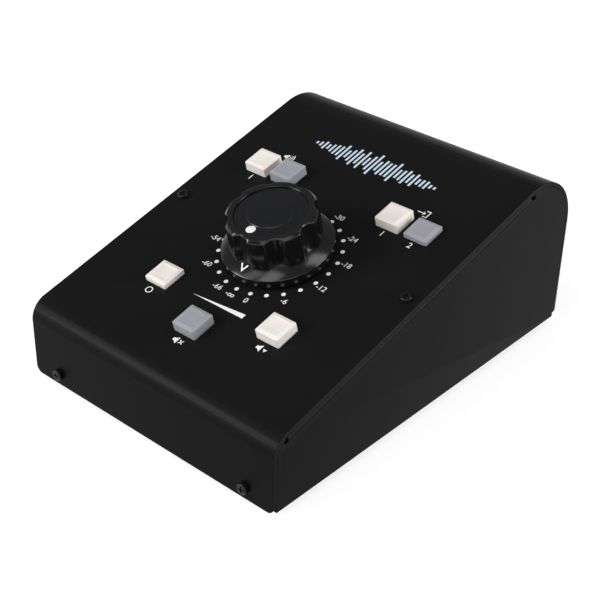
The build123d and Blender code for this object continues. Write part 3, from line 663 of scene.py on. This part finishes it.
sheet = bmesh.new()
sheet.from_mesh(frame["nodes"]["cover"].data)
bmesh.ops.remove_doubles(sheet, verts=sheet.verts, dist=MERGE_DISTANCE)
case = bpy.data.meshes.new("case")
sheet.to_mesh(case)
sheet.free()
case = carved(case, both_sides(along_slope(edge_bar, fold_start - OVERLAP, fold_end + OVERLAP)),
              "UNION")
case = carved(case, both_sides(across_case(rim, case_half - SHEET, case_half)), "UNION")
case = carved(case, both_sides(along_slope(groove, fold_start, fold_end)))
case.polygons.foreach_set("use_smooth", [True] * len(case.polygons))
case.set_sharp_from_angle(angle=radians(CREASE))
case = changed(case, "WEIGHTED_NORMAL", {"keep_sharp": True})
add_piece("case_sheet", case, slot_of["cover"], "housing", ["cover"])
print("case sheet:", len(case.polygons), "faces")

# %% [markdown]
# ## Shapes grown by rules
#
# The flutes of the grip repeat every forty-five degrees, the scale dots every fifteen, and the
# ornament behind the knob is a row of bars whose heights follow a wave. All three are grown by
# small geometry trees with named sizes, then kept as plain meshes.


# %% Grow a mesh from a geometry tree
def grown(name, sizes, slot, wire, blank=None):
    """A mesh from a geometry tree; sizes are its named inputs and wire draws on the blank."""
    tree = bpy.data.node_groups.new(name, "GeometryNodeTree")
    bench = Bench(tree)
    tree.interface.new_socket("Blank", in_out="INPUT", socket_type="NodeSocketGeometry")
    for label, value in sizes.items():
        kind = "NodeSocketInt" if isinstance(value, int) else "NodeSocketFloat"
        tree.interface.new_socket(label, in_out="INPUT", socket_type=kind)
    tree.interface.new_socket("Shape", in_out="OUTPUT", socket_type="NodeSocketGeometry")
    entry, leaving = (tree.nodes.new(f"NodeGroup{end}") for end in ("Input", "Output"))
    shape = wire(bench, {socket.name: Wire(bench, socket) for socket in entry.outputs})
    real = bench.node("GeometryNodeRealizeInstances", None, {"Geometry": shape})
    dressed = bench.node("GeometryNodeSetMaterial", None,
                         {"Geometry": real, "Material": finishes[slot]})
    bench.feed(leaving.inputs["Shape"], dressed)
    carrier = bpy.data.objects.new(name, blank or bpy.data.meshes.new(name))
    bpy.context.scene.collection.objects.link(carrier)
    growth = carrier.modifiers.new(name, "NODES")
    growth.node_group = tree
    for socket in tree.interface.items_tree:
        if socket.in_out == "INPUT" and socket.name in sizes:
            growth[socket.identifier] = sizes[socket.name]
    view = bpy.context.evaluated_depsgraph_get()
    mesh = bpy.data.meshes.new_from_object(carrier.evaluated_get(view))
    carrier.modifiers.remove(growth)
    bpy.data.objects.remove(carrier)
    return mesh


def vector(bench, x=0.0, y=0.0, z=0.0):
    return bench.node("ShaderNodeCombineXYZ", None, {"X": x, "Y": y, "Z": z})


print("geometry trees ready")

# %% [markdown]
# ## The fluted grip
#
# The grip is made in two steps, like a real one. First a blank is turned: a slightly tapered
# cylinder with a bevelled top, a recess for the disc and a bored hub. Then eight round cuts are
# milled down its side. A geometry tree does the milling: it moves every point in to the cut's
# distance from the axis wherever that is the smaller, and a smooth minimum eases the arris where
# the two meet.

# %% Sizes of the knob, in millimetres
GRIP_RADIUS = 21.4
GRIP_BASE_RADIUS = 22.0
GRIP_TOP = 24.0
GRIP_BEVEL = 1.25
GRIP_POINTS = 576
HUB_RADIUS = 11.95
HUB_BOTTOM = 7.5
BUSHING_RADIUS = 6.0
BUSHING_TOP = 21.0
DISC_RADIUS = 17.1
DISC_SEAT = 22.2
RECESS_EASE = 0.25
SEAT_GAP = 0.1
GRUB_LEVEL = 14.5
GRUB_RADIUS = 2.0
SKIRT_RADIUS = 26.3
SKIRT_BOTTOM = 1.4
SKIRT_RIM_TOP = 5.6
SKIRT_INNER = 12.0
SKIRT_FLAT = 18.6
SKIRT_WALL = 1.7
SKIRT_SLOPE = tan(radians(30))
FOLLOW = 4.0


def skirt_level(radius):
    """Height of the skirt's cone at a radius."""
    return SKIRT_RIM_TOP + (SKIRT_RADIUS - radius) * SKIRT_SLOPE


print("the grip meets the skirt", round(skirt_level(GRIP_BASE_RADIUS), 2), "mm up")


# %% Turn the blank
def grip_blank():
    """Profile of the turned blank, from the bore over the outside to the recess."""
    seat = skirt_level(SKIRT_FLAT)
    inside = [(BUSHING_RADIUS, BUSHING_TOP), (BUSHING_RADIUS, HUB_BOTTOM),
              (HUB_RADIUS, HUB_BOTTOM), (HUB_RADIUS, seat), (SKIRT_FLAT, seat)]
    shoulder = GRIP_TOP - GRIP_BEVEL
    base = skirt_level(GRIP_BASE_RADIUS)
    outside = rounded_path([
        (GRIP_BASE_RADIUS, base, 0), (GRIP_RADIUS, shoulder, 0.8),
        (GRIP_RADIUS - GRIP_BEVEL, GRIP_TOP, 0.5),
        (DISC_RADIUS + SEAT_GAP, GRIP_TOP, RECESS_EASE), (DISC_RADIUS + SEAT_GAP, DISC_SEAT, 0)], 6)
    outside.insert(1, outside[0].lerp(outside[1], FOLLOW / (shoulder - base)))
    return make_mesh("blank", *stacked([circle(*spot, GRIP_POINTS)
                                        for spot in inside + outside]))


blank = grip_blank()
print("blank of", len(blank.vertices), "points")


# %% Mill the flutes
def draw_flutes(bench, size):
    """Moves the points of the blank in wherever a flute cuts deeper."""
    place = bench.node("GeometryNodeInputPosition")
    x, y, level = bench.parts(place)
    turned = (x * x + y * y) ** 0.5
    half_step = pi / size["Flutes"]
    around = y.maths("ARCTAN2", y, x) + pi / 2
    away = around.maths("WRAP", around, half_step, half_step * -1)
    spread = 1 + (size["Top"] - level) * size["Draft"]
    aside = away.sine() * size["Centre"]
    across_cut = (size["Radius"] ** 2 - aside * aside).maximum(0.0) ** 0.5
    cut = ((away + pi / 2).sine() * size["Centre"] - across_cut) * spread
    near_top = (level - size["Top"] + size["Edge"]).maximum(0.0)
    rounding = size["Edge"] - (size["Edge"] ** 2 - near_top ** 2).maximum(0.0) ** 0.5
    fluted = turned.maths("SMOOTH_MIN", turned, cut - rounding, size["Arris"])
    shift = fluted / turned
    above_cone = level - (SKIRT_RIM_TOP + (SKIRT_RADIUS - turned) * SKIRT_SLOPE)
    follows = (1 - abs(above_cone) / FOLLOW).maximum(0.0)
    risen = level + (turned - fluted) * SKIRT_SLOPE * follows
    return bench.node("GeometryNodeSetPosition", None,
                      {"Geometry": size["Blank"], "Position": vector(bench, x * shift, y * shift,
                                                                     risen)})


grip_draft = (GRIP_BASE_RADIUS / GRIP_RADIUS - 1) / (GRIP_TOP - HUB_BOTTOM)
grip = grown("flutes", {"Flutes": 8, "Radius": 6.2, "Centre": 25.5, "Draft": grip_draft,
                        "Arris": 1.2, "Top": GRIP_TOP, "Edge": 0.35},
             "gloss_black", draw_flutes, blank)
grip.set_sharp_from_angle(angle=radians(CREASE))
radii = [vertex.co.xy.length for vertex in grip.vertices if vertex.co.z > GRIP_TOP / 2]
print("grip of", len(grip.vertices), "points, widest", round(max(radii), 2), "mm")


# %% Drill the grub screw's hole
bore = make_mesh("bore", *stacked([circle(GRUB_RADIUS, reach, 32)
                                   for reach in (BUSHING_RADIUS / 2, GRIP_BASE_RADIUS + 1)]))
bore.transform(Matrix.Translation((0, 0, GRUB_LEVEL)) @ Matrix.Rotation(-pi / 2, 4, "X"))
grip = carved(grip, bore)
grip.transform(panel_mm)
add_piece("fluted_grip", grip, "gloss_black", "volume_knob", ["knob_grip"])
print("grip faces:", len(grip.polygons))

# %% [markdown]
# ## Skirt, disc and index dot
#
# These three are turned parts. Their profiles are short lists of corners, each with the small
# radius that a real tool or mould leaves there. That radius is what catches the light as a thin
# bright line round the knob.

# %% Turn the skirt, the disc and the dot
DISC_LEVEL = 23.3
BOSS_RADIUS = 11.2
BOSS_LEVEL = 23.7
DOT_RADIUS = 2.3
DOT_CIRCLE = 13.6
DOT_DEPTH = 0.6
DOT_RISE = 0.12
DOT_EDGE = 0.02
TURNED_POINTS = 256

wall_radius = SKIRT_RADIUS - SKIRT_WALL
skirt_profile = rounded_path([
    (wall_radius, skirt_level(wall_radius) - SKIRT_WALL, 0), (wall_radius, SKIRT_BOTTOM, 0.2),
    (SKIRT_RADIUS, SKIRT_BOTTOM, 0.4), (SKIRT_RADIUS, SKIRT_RIM_TOP, 0.45),
    (SKIRT_FLAT, skirt_level(SKIRT_FLAT), 0), (SKIRT_INNER, skirt_level(SKIRT_FLAT), 0),
    (SKIRT_INNER, skirt_level(SKIRT_FLAT) - SKIRT_WALL, 0),
    (SKIRT_FLAT, skirt_level(SKIRT_FLAT) - SKIRT_WALL, 0)])
skirt = make_mesh("skirt", *stacked([circle(*spot, TURNED_POINTS) for spot in skirt_profile],
                                    joined=True))
skirt.transform(panel_mm)
add_piece("conical_skirt", skirt, "gloss_black", "volume_knob", ["knob_skirt"], "turned_gloss")

disc_profile = rounded_path([
    (DISC_RADIUS - 0.2, DISC_SEAT, 0), (DISC_RADIUS, DISC_SEAT, 0.05),
    (DISC_RADIUS, DISC_LEVEL, 0.2), (BOSS_RADIUS, DISC_LEVEL, 0.1),
    (BOSS_RADIUS - 0.3, BOSS_LEVEL, 0.25), (BOSS_RADIUS / 2, BOSS_LEVEL, 0)])
disc = make_mesh("disc", *stacked([circle(*spot, TURNED_POINTS) for spot in disc_profile]))
disc.transform(panel_mm)
add_piece("turned_disc", disc, "black_anodised", "volume_knob", ["knob_disc"])

dot_profile = [(DOT_RADIUS, DISC_LEVEL - DOT_DEPTH)]
dot_profile += [(DOT_RADIUS * share, DISC_LEVEL + DOT_RISE * (1 - share ** 4) + DOT_EDGE)
                for share in (1, 0.96, 0.88, 0.75, 0.5, 0.2)]
dot = make_mesh("dot", *stacked([circle(*spot, 48) for spot in dot_profile]))
dot.transform(panel_mm @ Matrix.Translation((0, -DOT_CIRCLE, 0)))
add_piece("index_dot", dot, "white_inlay", "volume_knob", ["knob_index_dot"])
print("turned parts:", len(skirt_profile), len(disc_profile), len(dot_profile), "circles")

# %% [markdown]
# ## Seven button caps
#
# Each cap is a small square cup with eased corners, a bevel round its top and a shallow dish
# for the fingertip. All seven share one design. The two that are latched down sit lower, and
# the frame already says how high each cap stands, so its top is read from there.

# %% Mould the caps
CAP_HALF = 6.4
CAP_CORNER = 0.55
CAP_WALL = 1.1
CAP_ROOF = 1.6
CAP_DEPTH = 8.4
CAP_BEVEL_IN = 1.75
CAP_BEVEL_UP = 0.65
CAP_LIP = 0.1
CAP_LIP_WIDTH = 0.3
CAP_DISH = 0.4
CAP_EASE = 0.12
TABLE_EASE = 0.15
DISH_RINGS = 6
CORNER_STEPS = 6


def square_loop(half, corner, level):
    """A rounded square at a level."""
    corner = min(corner, half * 0.9)
    loop = []
    for quarter in range(4):
        middle = (half - corner) * sqrt(2)
        diagonal = pi / 4 + quarter * pi / 2
        for step in range(CORNER_STEPS + 1):
            angle = (quarter + step / CORNER_STEPS) * pi / 2
            loop.append((middle * cos(diagonal) + corner * cos(angle),
                         middle * sin(diagonal) + corner * sin(angle), level))
    return loop


def cap_skin():
    """Cup-shaped cap whose outer top edge is at level 0."""
    inner = CAP_HALF - CAP_WALL
    table = CAP_HALF - CAP_BEVEL_IN
    lip = table - CAP_LIP_WIDTH
    loops = [square_loop(inner, CAP_CORNER, CAP_BEVEL_UP - CAP_ROOF),
             square_loop(inner, CAP_CORNER, -CAP_DEPTH)]
    outside = rounded_path([(CAP_HALF, -CAP_DEPTH, 0), (CAP_HALF, 0, CAP_EASE),
                            (table, CAP_BEVEL_UP, TABLE_EASE), (lip, CAP_BEVEL_UP - CAP_LIP, 0)])
    loops += [square_loop(half, CAP_CORNER, level) for half, level in outside]
    for ring in range(1, DISH_RINGS):
        share = 1 - ring / DISH_RINGS
        sunk = CAP_LIP + (CAP_DISH - CAP_LIP) * (1 - share * share)
        loops.append(square_loop(lip * share, CAP_CORNER, CAP_BEVEL_UP - sunk))
    return stacked(loops)


def panel_box(node):
    """Low and high corners of a frame node in panel directions, in millimetres."""
    to_panel = panel_mm.inverted()
    points = [to_panel @ vertex.co for vertex in frame["nodes"][node].data.vertices]
    return [Vector(pick(point[axis] for point in points) for axis in range(3))
            for pick in (min, max)]


buttons = ("output_1", "output_2", "input_1", "input_2", "mono", "mute", "dim")
for button in buttons:
    low, high = panel_box(f"{button}_cap")
    place = ((low.x + high.x) / 2, (low.y + high.y) / 2, low.z + CAP_DEPTH)
    cap = make_mesh(f"{button}_cap", *cap_skin())
    cap.transform(panel_mm @ Matrix.Translation(place))
    add_piece(f"{button}_cap_moulding", cap, slot_of[f"{button}_cap"], f"{button}_button",
              [f"{button}_cap"])
    print(button, "cap at", [round(value, 1) for value in place])

# %% [markdown]
# ## Dots and bars
#
# Both are printed on the panel. Twenty-four dots mark the stops of the knob, and the row of bars
# is a plain ornament.


# %% Twenty-four scale dots
def draw_dots(bench, size):
    ring = bench.node("GeometryNodeMeshCircle", None,
                      {"Vertices": size["Steps"], "Radius": size["Circle"]})
    spot = bench.node("GeometryNodeMeshCylinder", None,
                      {"Vertices": 24, "Radius": size["Dot"], "Depth": size["Ink"]})
    return bench.node("GeometryNodeInstanceOnPoints", None, {"Points": ring, "Instance": spot})


dots = grown("scale_dots", {"Steps": 24, "Circle": 29.2, "Dot": 1.05, "Ink": 0.06},
             "white_inlay", draw_dots)
dots.transform(panel_mm)
add_piece("scale_dots", dots, "white_inlay", "housing")
print("dots:", len(dots.polygons), "faces")


# %% A wave of bars behind the knob
def draw_wave(bench, size):
    half = size["Pitch"] * (size["Bars"] - 1) * 0.5
    line = bench.node("GeometryNodeMeshLine", {"mode": "OFFSET"},
                      {"Count": size["Bars"], "Start Location": vector(bench, half * -1),
                       "Offset": vector(bench, size["Pitch"])})
    bar = bench.node("GeometryNodeMeshCube", None,
                     {"Size": vector(bench, size["Bar"], 1.0, size["Ink"])})
    order = bench.node("GeometryNodeInputIndex")
    swell = (order / (size["Bars"] - 1) * pi).sine() ** 0.8
    ripple = abs((order * 1.93 + 0.6).sine()) * 0.6 + abs((order * 0.71 + 0.2).sine()) * 0.4
    tall = size["Height"] * (swell * ripple * 0.86 + 0.1)
    return bench.node("GeometryNodeInstanceOnPoints", None,
                      {"Points": line, "Instance": bar, "Scale": vector(bench, 1.0, tall, 1.0)})


WAVE_PLACE = (-1.9, 71.4, 0)
wave = grown("wave_bars", {"Bars": 31, "Pitch": 2.4, "Bar": 1.15, "Height": 17.0, "Ink": 0.06},
             "pale_blue_ink", draw_wave)
wave.transform(panel_mm @ Matrix.Translation(WAVE_PLACE))
add_piece("wave_bars", wave, "pale_blue_ink", "housing")
print("wave bars:", len(wave.polygons) // 6)

# %% [markdown]
# ## Numbers and signs
#
# The scale counts down in decibels, and the paired buttons are numbered one and two. What each
# button does is said by the plain signs found on all kinds of sound equipment: a loudspeaker
# with waves, an arrow going in, one ring for mono, a crossed-out loudspeaker for mute. All are
# flat shapes of ink, a few hundredths of a millimetre thick.

# %% Flat shapes of ink
INK_LOW = -0.02
INK_TOP = 0.035
LINE = 0.5
MITRE_LIMIT = 0.3


def slab(outline):
    """A flat shape of ink from a counterclockwise outline of (x, y) points."""
    return stacked([[(x, y, level) for x, y in outline] for level in (INK_LOW, INK_TOP)])


def ring_slab(x, y, outer, inner):
    """A flat ring of ink."""
    loops = [[(x + px, y + py, level) for px, py, level in circle(radius, level, 40)]
             for radius, level in ((outer, INK_LOW), (outer, INK_TOP),
                                   (inner, INK_TOP), (inner, INK_LOW))]
    return stacked(loops, joined=True)


def stroke(points, width=LINE):
    """A line of ink of even width through the points."""
    spots = [Vector(point) for point in points]
    ways = [(after - before).normalized() for before, after in zip(spots, spots[1:])]
    right, left = [], []
    for number, spot in enumerate(spots):
        before, after = ways[max(number - 1, 0)], ways[min(number, len(ways) - 1)]
        middle = (before + after).normalized()
        aside = Vector((middle.y, -middle.x)) * (width / 2 / max(middle.dot(after), MITRE_LIMIT))
        right.append(tuple(spot + aside))
        left.append(tuple(spot - aside))
    return slab(right + left[::-1])


def arc(x, y, radius, start, end, steps=14):
    """Points on an arc, angles in degrees."""
    angles = [radians(start + (end - start) * step / steps) for step in range(steps + 1)]
    return [(x + radius * cos(angle), y + radius * sin(angle)) for angle in angles]


def moved(shape, x, y):
    points, faces = shape
    return [(px + x, py + y, pz) for px, py, pz in points], faces


def print_ink(name, shapes):
    """Prints shapes, drawn in panel directions, on the panel."""
    ink = make_mesh(name, *gathered(shapes))
    ink.transform(panel_mm)
    add_piece(name, ink, "white_inlay", "housing")


# %% Numbers of the scale and of the paired buttons
def digits(text, tall):
    """Upright figures as a flat shape, centred, tall millimetres high."""
    curve = bpy.data.curves.new(text, "FONT")
    curve.body = text
    curve.resolution_u = 4
    curve.extrude = 0.5
    carrier = bpy.data.objects.new(text, curve)
    bpy.context.scene.collection.objects.link(carrier)
    view = bpy.context.evaluated_depsgraph_get()
    mesh = bpy.data.meshes.new_from_object(carrier.evaluated_get(view))
    bpy.data.objects.remove(carrier)
    xs, ys, zs = zip(*(vertex.co for vertex in mesh.vertices))
    scale = tall / (max(ys) - min(ys))
    middle = (max(xs) + min(xs)) / 2, (max(ys) + min(ys)) / 2
    points = [((x - middle[0]) * scale, (y - middle[1]) * scale, INK_TOP if z > 0 else INK_LOW)
              for x, y, z in zip(xs, ys, zs)]
    return points, [tuple(face.vertices) for face in mesh.polygons]


SCALE_FIGURES = 2.9
SCALE_CIRCLE = 33.6
figures = []
for step in range(12):
    angle = radians(-75 + step * 30)
    label = digits(f"-{step * 6}" if step else "0", SCALE_FIGURES)
    figures.append(moved(label, SCALE_CIRCLE * cos(angle), SCALE_CIRCLE * sin(angle)))
endless = gathered([stroke([(-2.5, 0), (-1.5, 0)], 0.4), ring_slab(-0.3, 0, 0.95, 0.55),
                    ring_slab(1.35, 0, 0.95, 0.55)])
figures.append(moved(endless, 0, -SCALE_CIRCLE))
print_ink("scale_figures", figures)

PAIR_FIGURES = 3.4
PAIR_V = 33.7
print_ink("pair_figures", [moved(digits(text, PAIR_FIGURES), u, PAIR_V)
                           for text, u in (("1", -49.1), ("2", -32.8), ("1", 32.8), ("2", 48.6))])
print("figures printed:", len(figures), "on the scale")

# %% Signs for the buttons
loudspeaker = slab([(-2.6, -0.8), (-1.6, -0.8), (0, -2), (0, 2), (-1.6, 0.8), (-2.6, 0.8)])
waves = [stroke(arc(-0.4, 0, radius, -42, 42)) for radius in (1.5, 2.6, 3.7)]
cross = [stroke([(1, -1), (3, 1)]), stroke([(1, 1), (3, -1)])]
arrow = [stroke([(-3.4, 0), (0.2, 0)]), slab([(-0.2, -1.1), (1.4, 0), (-0.2, 1.1)])]
bracket = [stroke([(0.6, -2), (2.8, -2), (2.8, 2), (0.6, 2)])]
fall = [slab([(1.1, 0.5), (2.1, -1.1), (3.1, 0.5)])]
signs = {
    "output_sign": ([loudspeaker, *waves], -42.8, 54.6),
    "input_sign": ([*arrow, *bracket], 40.6, 54.6),
    "mono_sign": ([ring_slab(0, 0, 1.9, 1.4)], -34.6, -50.9),
    "mute_sign": ([loudspeaker, *cross], 0, -67.0),
    "dim_sign": ([loudspeaker, *fall], 34.6, -50.9),
    "level_sign": ([slab([(-15, -1.3), (15, -1.3), (15, 1.3)])], 0, -40.6),
}
for name, (shapes, u, v) in signs.items():
    print_ink(name, [moved(shape, u, v) for shape in shapes])
print("signs:", ", ".join(signs))

# %% [markdown]
# ## Pointer on the skirt
#
# A small chevron on the skirt shows which way the knob points when the dot is out of sight. It
# is drawn flat and then wrapped round the cone.

# %% Wrap the chevron on the cone
CHEVRON_INNER = 21.2
CHEVRON_OUTER = 23.9
CHEVRON_HALF = 1.8


def wrapped(shape):
    """Flat ink wrapped on the skirt: x runs round the knob, y is the distance from its axis."""
    points, faces = shape
    bent = []
    for x, radius, lift in points:
        angle = x / radius - pi / 2
        bent.append((radius * cos(angle), radius * sin(angle), skirt_level(radius) + lift))
    return bent, faces


arms = [[Vector((side * CHEVRON_HALF, CHEVRON_INNER)).lerp((0, CHEVRON_OUTER), step / 6)
         for step in range(7)] for side in (-1, 1)]
chevron = make_mesh("pointer", *wrapped(stroke(arms[0] + arms[1][-2::-1], 0.7)))
chevron.transform(panel_mm)
add_piece("skirt_pointer", chevron, "white_inlay", "volume_knob")
print("pointer drawn")

# %% [markdown]
# ## A white floor
#
# The floor takes the object's shadow like any pale surface. A little glow, which only the camera
# and mirror-like surfaces see, lifts it to the white of a studio sweep without putting any more
# light on the object.

# %% Lay the floor
FLOOR_SIZE = 3.0
FLOOR_GLOW = 0.72


def floor_paint():
    """White floor: lit like any other, but a little brighter as seen directly or mirrored."""
    material = bpy.data.materials.new("floor")
    material.use_nodes = True
    bench = Bench(material.node_tree)
    shader = bench.tree.nodes["Principled BSDF"]
    rays = bench.tree.nodes.new("ShaderNodeLightPath")
    seen = Wire(bench, rays.outputs["Is Camera Ray"]) + Wire(bench, rays.outputs["Is Glossy Ray"])
    seen = seen + Wire(bench, rays.outputs["Is Transmission Ray"])
    shader.inputs["Base Color"].default_value = (0.45, 0.45, 0.45, 1)
    shader.inputs["Roughness"].default_value = 0.6
    shader.inputs["Specular IOR Level"].default_value = 0.1
    shader.inputs["Emission Strength"].default_value = 1.0
    glow = blend(bench, seen, (0, 0, 0), (FLOOR_GLOW,) * 3)
    bench.feed(shader.inputs["Emission Color"], glow)
    return material


floor_mesh = bpy.data.meshes.new("floor")
half_floor = FLOOR_SIZE / 2
floor_mesh.from_pydata([(-half_floor, -half_floor, 0), (half_floor, -half_floor, 0),
                        (half_floor, half_floor, 0), (-half_floor, half_floor, 0)],
                       [], [(0, 1, 2, 3)])
floor_mesh.materials.append(floor_paint())
floor = bpy.data.objects.new("floor", floor_mesh)
bpy.context.scene.collection.objects.link(floor)
floor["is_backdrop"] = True
print("floor", FLOOR_SIZE, "m wide")

# %% [markdown]
# ## Softboxes
#
# A black object is lit by what it reflects, so each lamp is placed where one of its forms
# mirrors it. The one low on the left draws the front bend. Two narrow ones in front draw the
# double band on the skirt. A broad weak one beside the camera fills the front and the side. One
# overhead lights the caps, and one low behind on the right lights their sides and draws the line
# along the cheek's bend. The sloped panel mirrors none of them, so it stays a deep even black.


# %% Hang the softboxes
LIGHT_DISTANCE = 5.0
LIGHT_AIM = Vector((0, 0, 0.04))


def softbox(name, direction, width, height, radiance):
    """A rectangular light of even radiance; width and height are angles as the object sees it."""
    lamp = bpy.data.lights.new(name, "AREA")
    lamp.shape = "RECTANGLE"
    lamp.size = width * LIGHT_DISTANCE
    lamp.size_y = height * LIGHT_DISTANCE
    lamp.energy = radiance * pi * lamp.size * lamp.size_y
    stand = bpy.data.objects.new(name, lamp)
    bpy.context.scene.collection.objects.link(stand)
    stand.location = LIGHT_AIM + Vector(direction).normalized() * LIGHT_DISTANCE
    stand.rotation_euler = (LIGHT_AIM - stand.location).to_track_quat("-Z", "Y").to_euler()
    stand.visible_camera = False


softbox("front_left", (-0.58, -0.73, 0.37), 0.4, 0.42, 14)
softbox("front", (-0.05, -0.545, 0.836), 0.3, 0.45, 2.6)
softbox("front_edge", (-0.4, -0.58, 0.71), 0.2, 0.45, 1.7)
softbox("camera_side", (0.54, -0.7, 0.46), 1.1, 0.9, 1.2)
softbox("overhead", (0.27, 0.26, 0.925), 0.28, 0.4, 3.1)
softbox("rim", (0.84, 0.46, 0.2), 0.45, 0.35, 14)
print("softboxes:", len(bpy.data.lights))

# %% [markdown]
# ## The room
#
# The room is white to the camera. It lights the object evenly and rather weakly, and what gloss
# mirrors of it is white near the horizon and darker overhead, as in a tall studio.

# %% Light the room
AMBIENT = 0.24

world = bpy.data.worlds.new("studio")
bpy.context.scene.world = world
world.use_nodes = True
sky = Bench(world.node_tree)
background = sky.tree.nodes["Background"]
rays = sky.tree.nodes.new("ShaderNodeLightPath")
height = sky.parts(sky.node("ShaderNodeTexCoord", out="Generated"))[2]
falloff = sky.node("ShaderNodeMapRange", {"interpolation_type": "SMOOTHSTEP"},
                   {"Value": height, "From Min": 0.0, "From Max": 0.38,
                    "To Min": 1.0, "To Max": 0.22})
mirrored = Wire(sky, rays.outputs["Is Glossy Ray"]) + Wire(sky, rays.outputs["Is Transmission Ray"])
plain = sky.node("ShaderNodeMix", {"data_type": "FLOAT"}, {0: mirrored, 2: AMBIENT, 3: falloff})
strength = sky.node("ShaderNodeMix", {"data_type": "FLOAT"},
                    {0: Wire(sky, rays.outputs["Is Camera Ray"]), 2: plain, 3: 1.0})
sky.feed(background.inputs["Strength"], strength)
background.inputs["Color"].default_value = (1, 1, 1, 1)
print("room strength for plain light:", AMBIENT)

# %% [markdown]
# ## Measure the finished scene
#
# The looks must not change the size of the object, so the size of the finished scene is measured.

# %% Measure the finished scene
low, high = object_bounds()
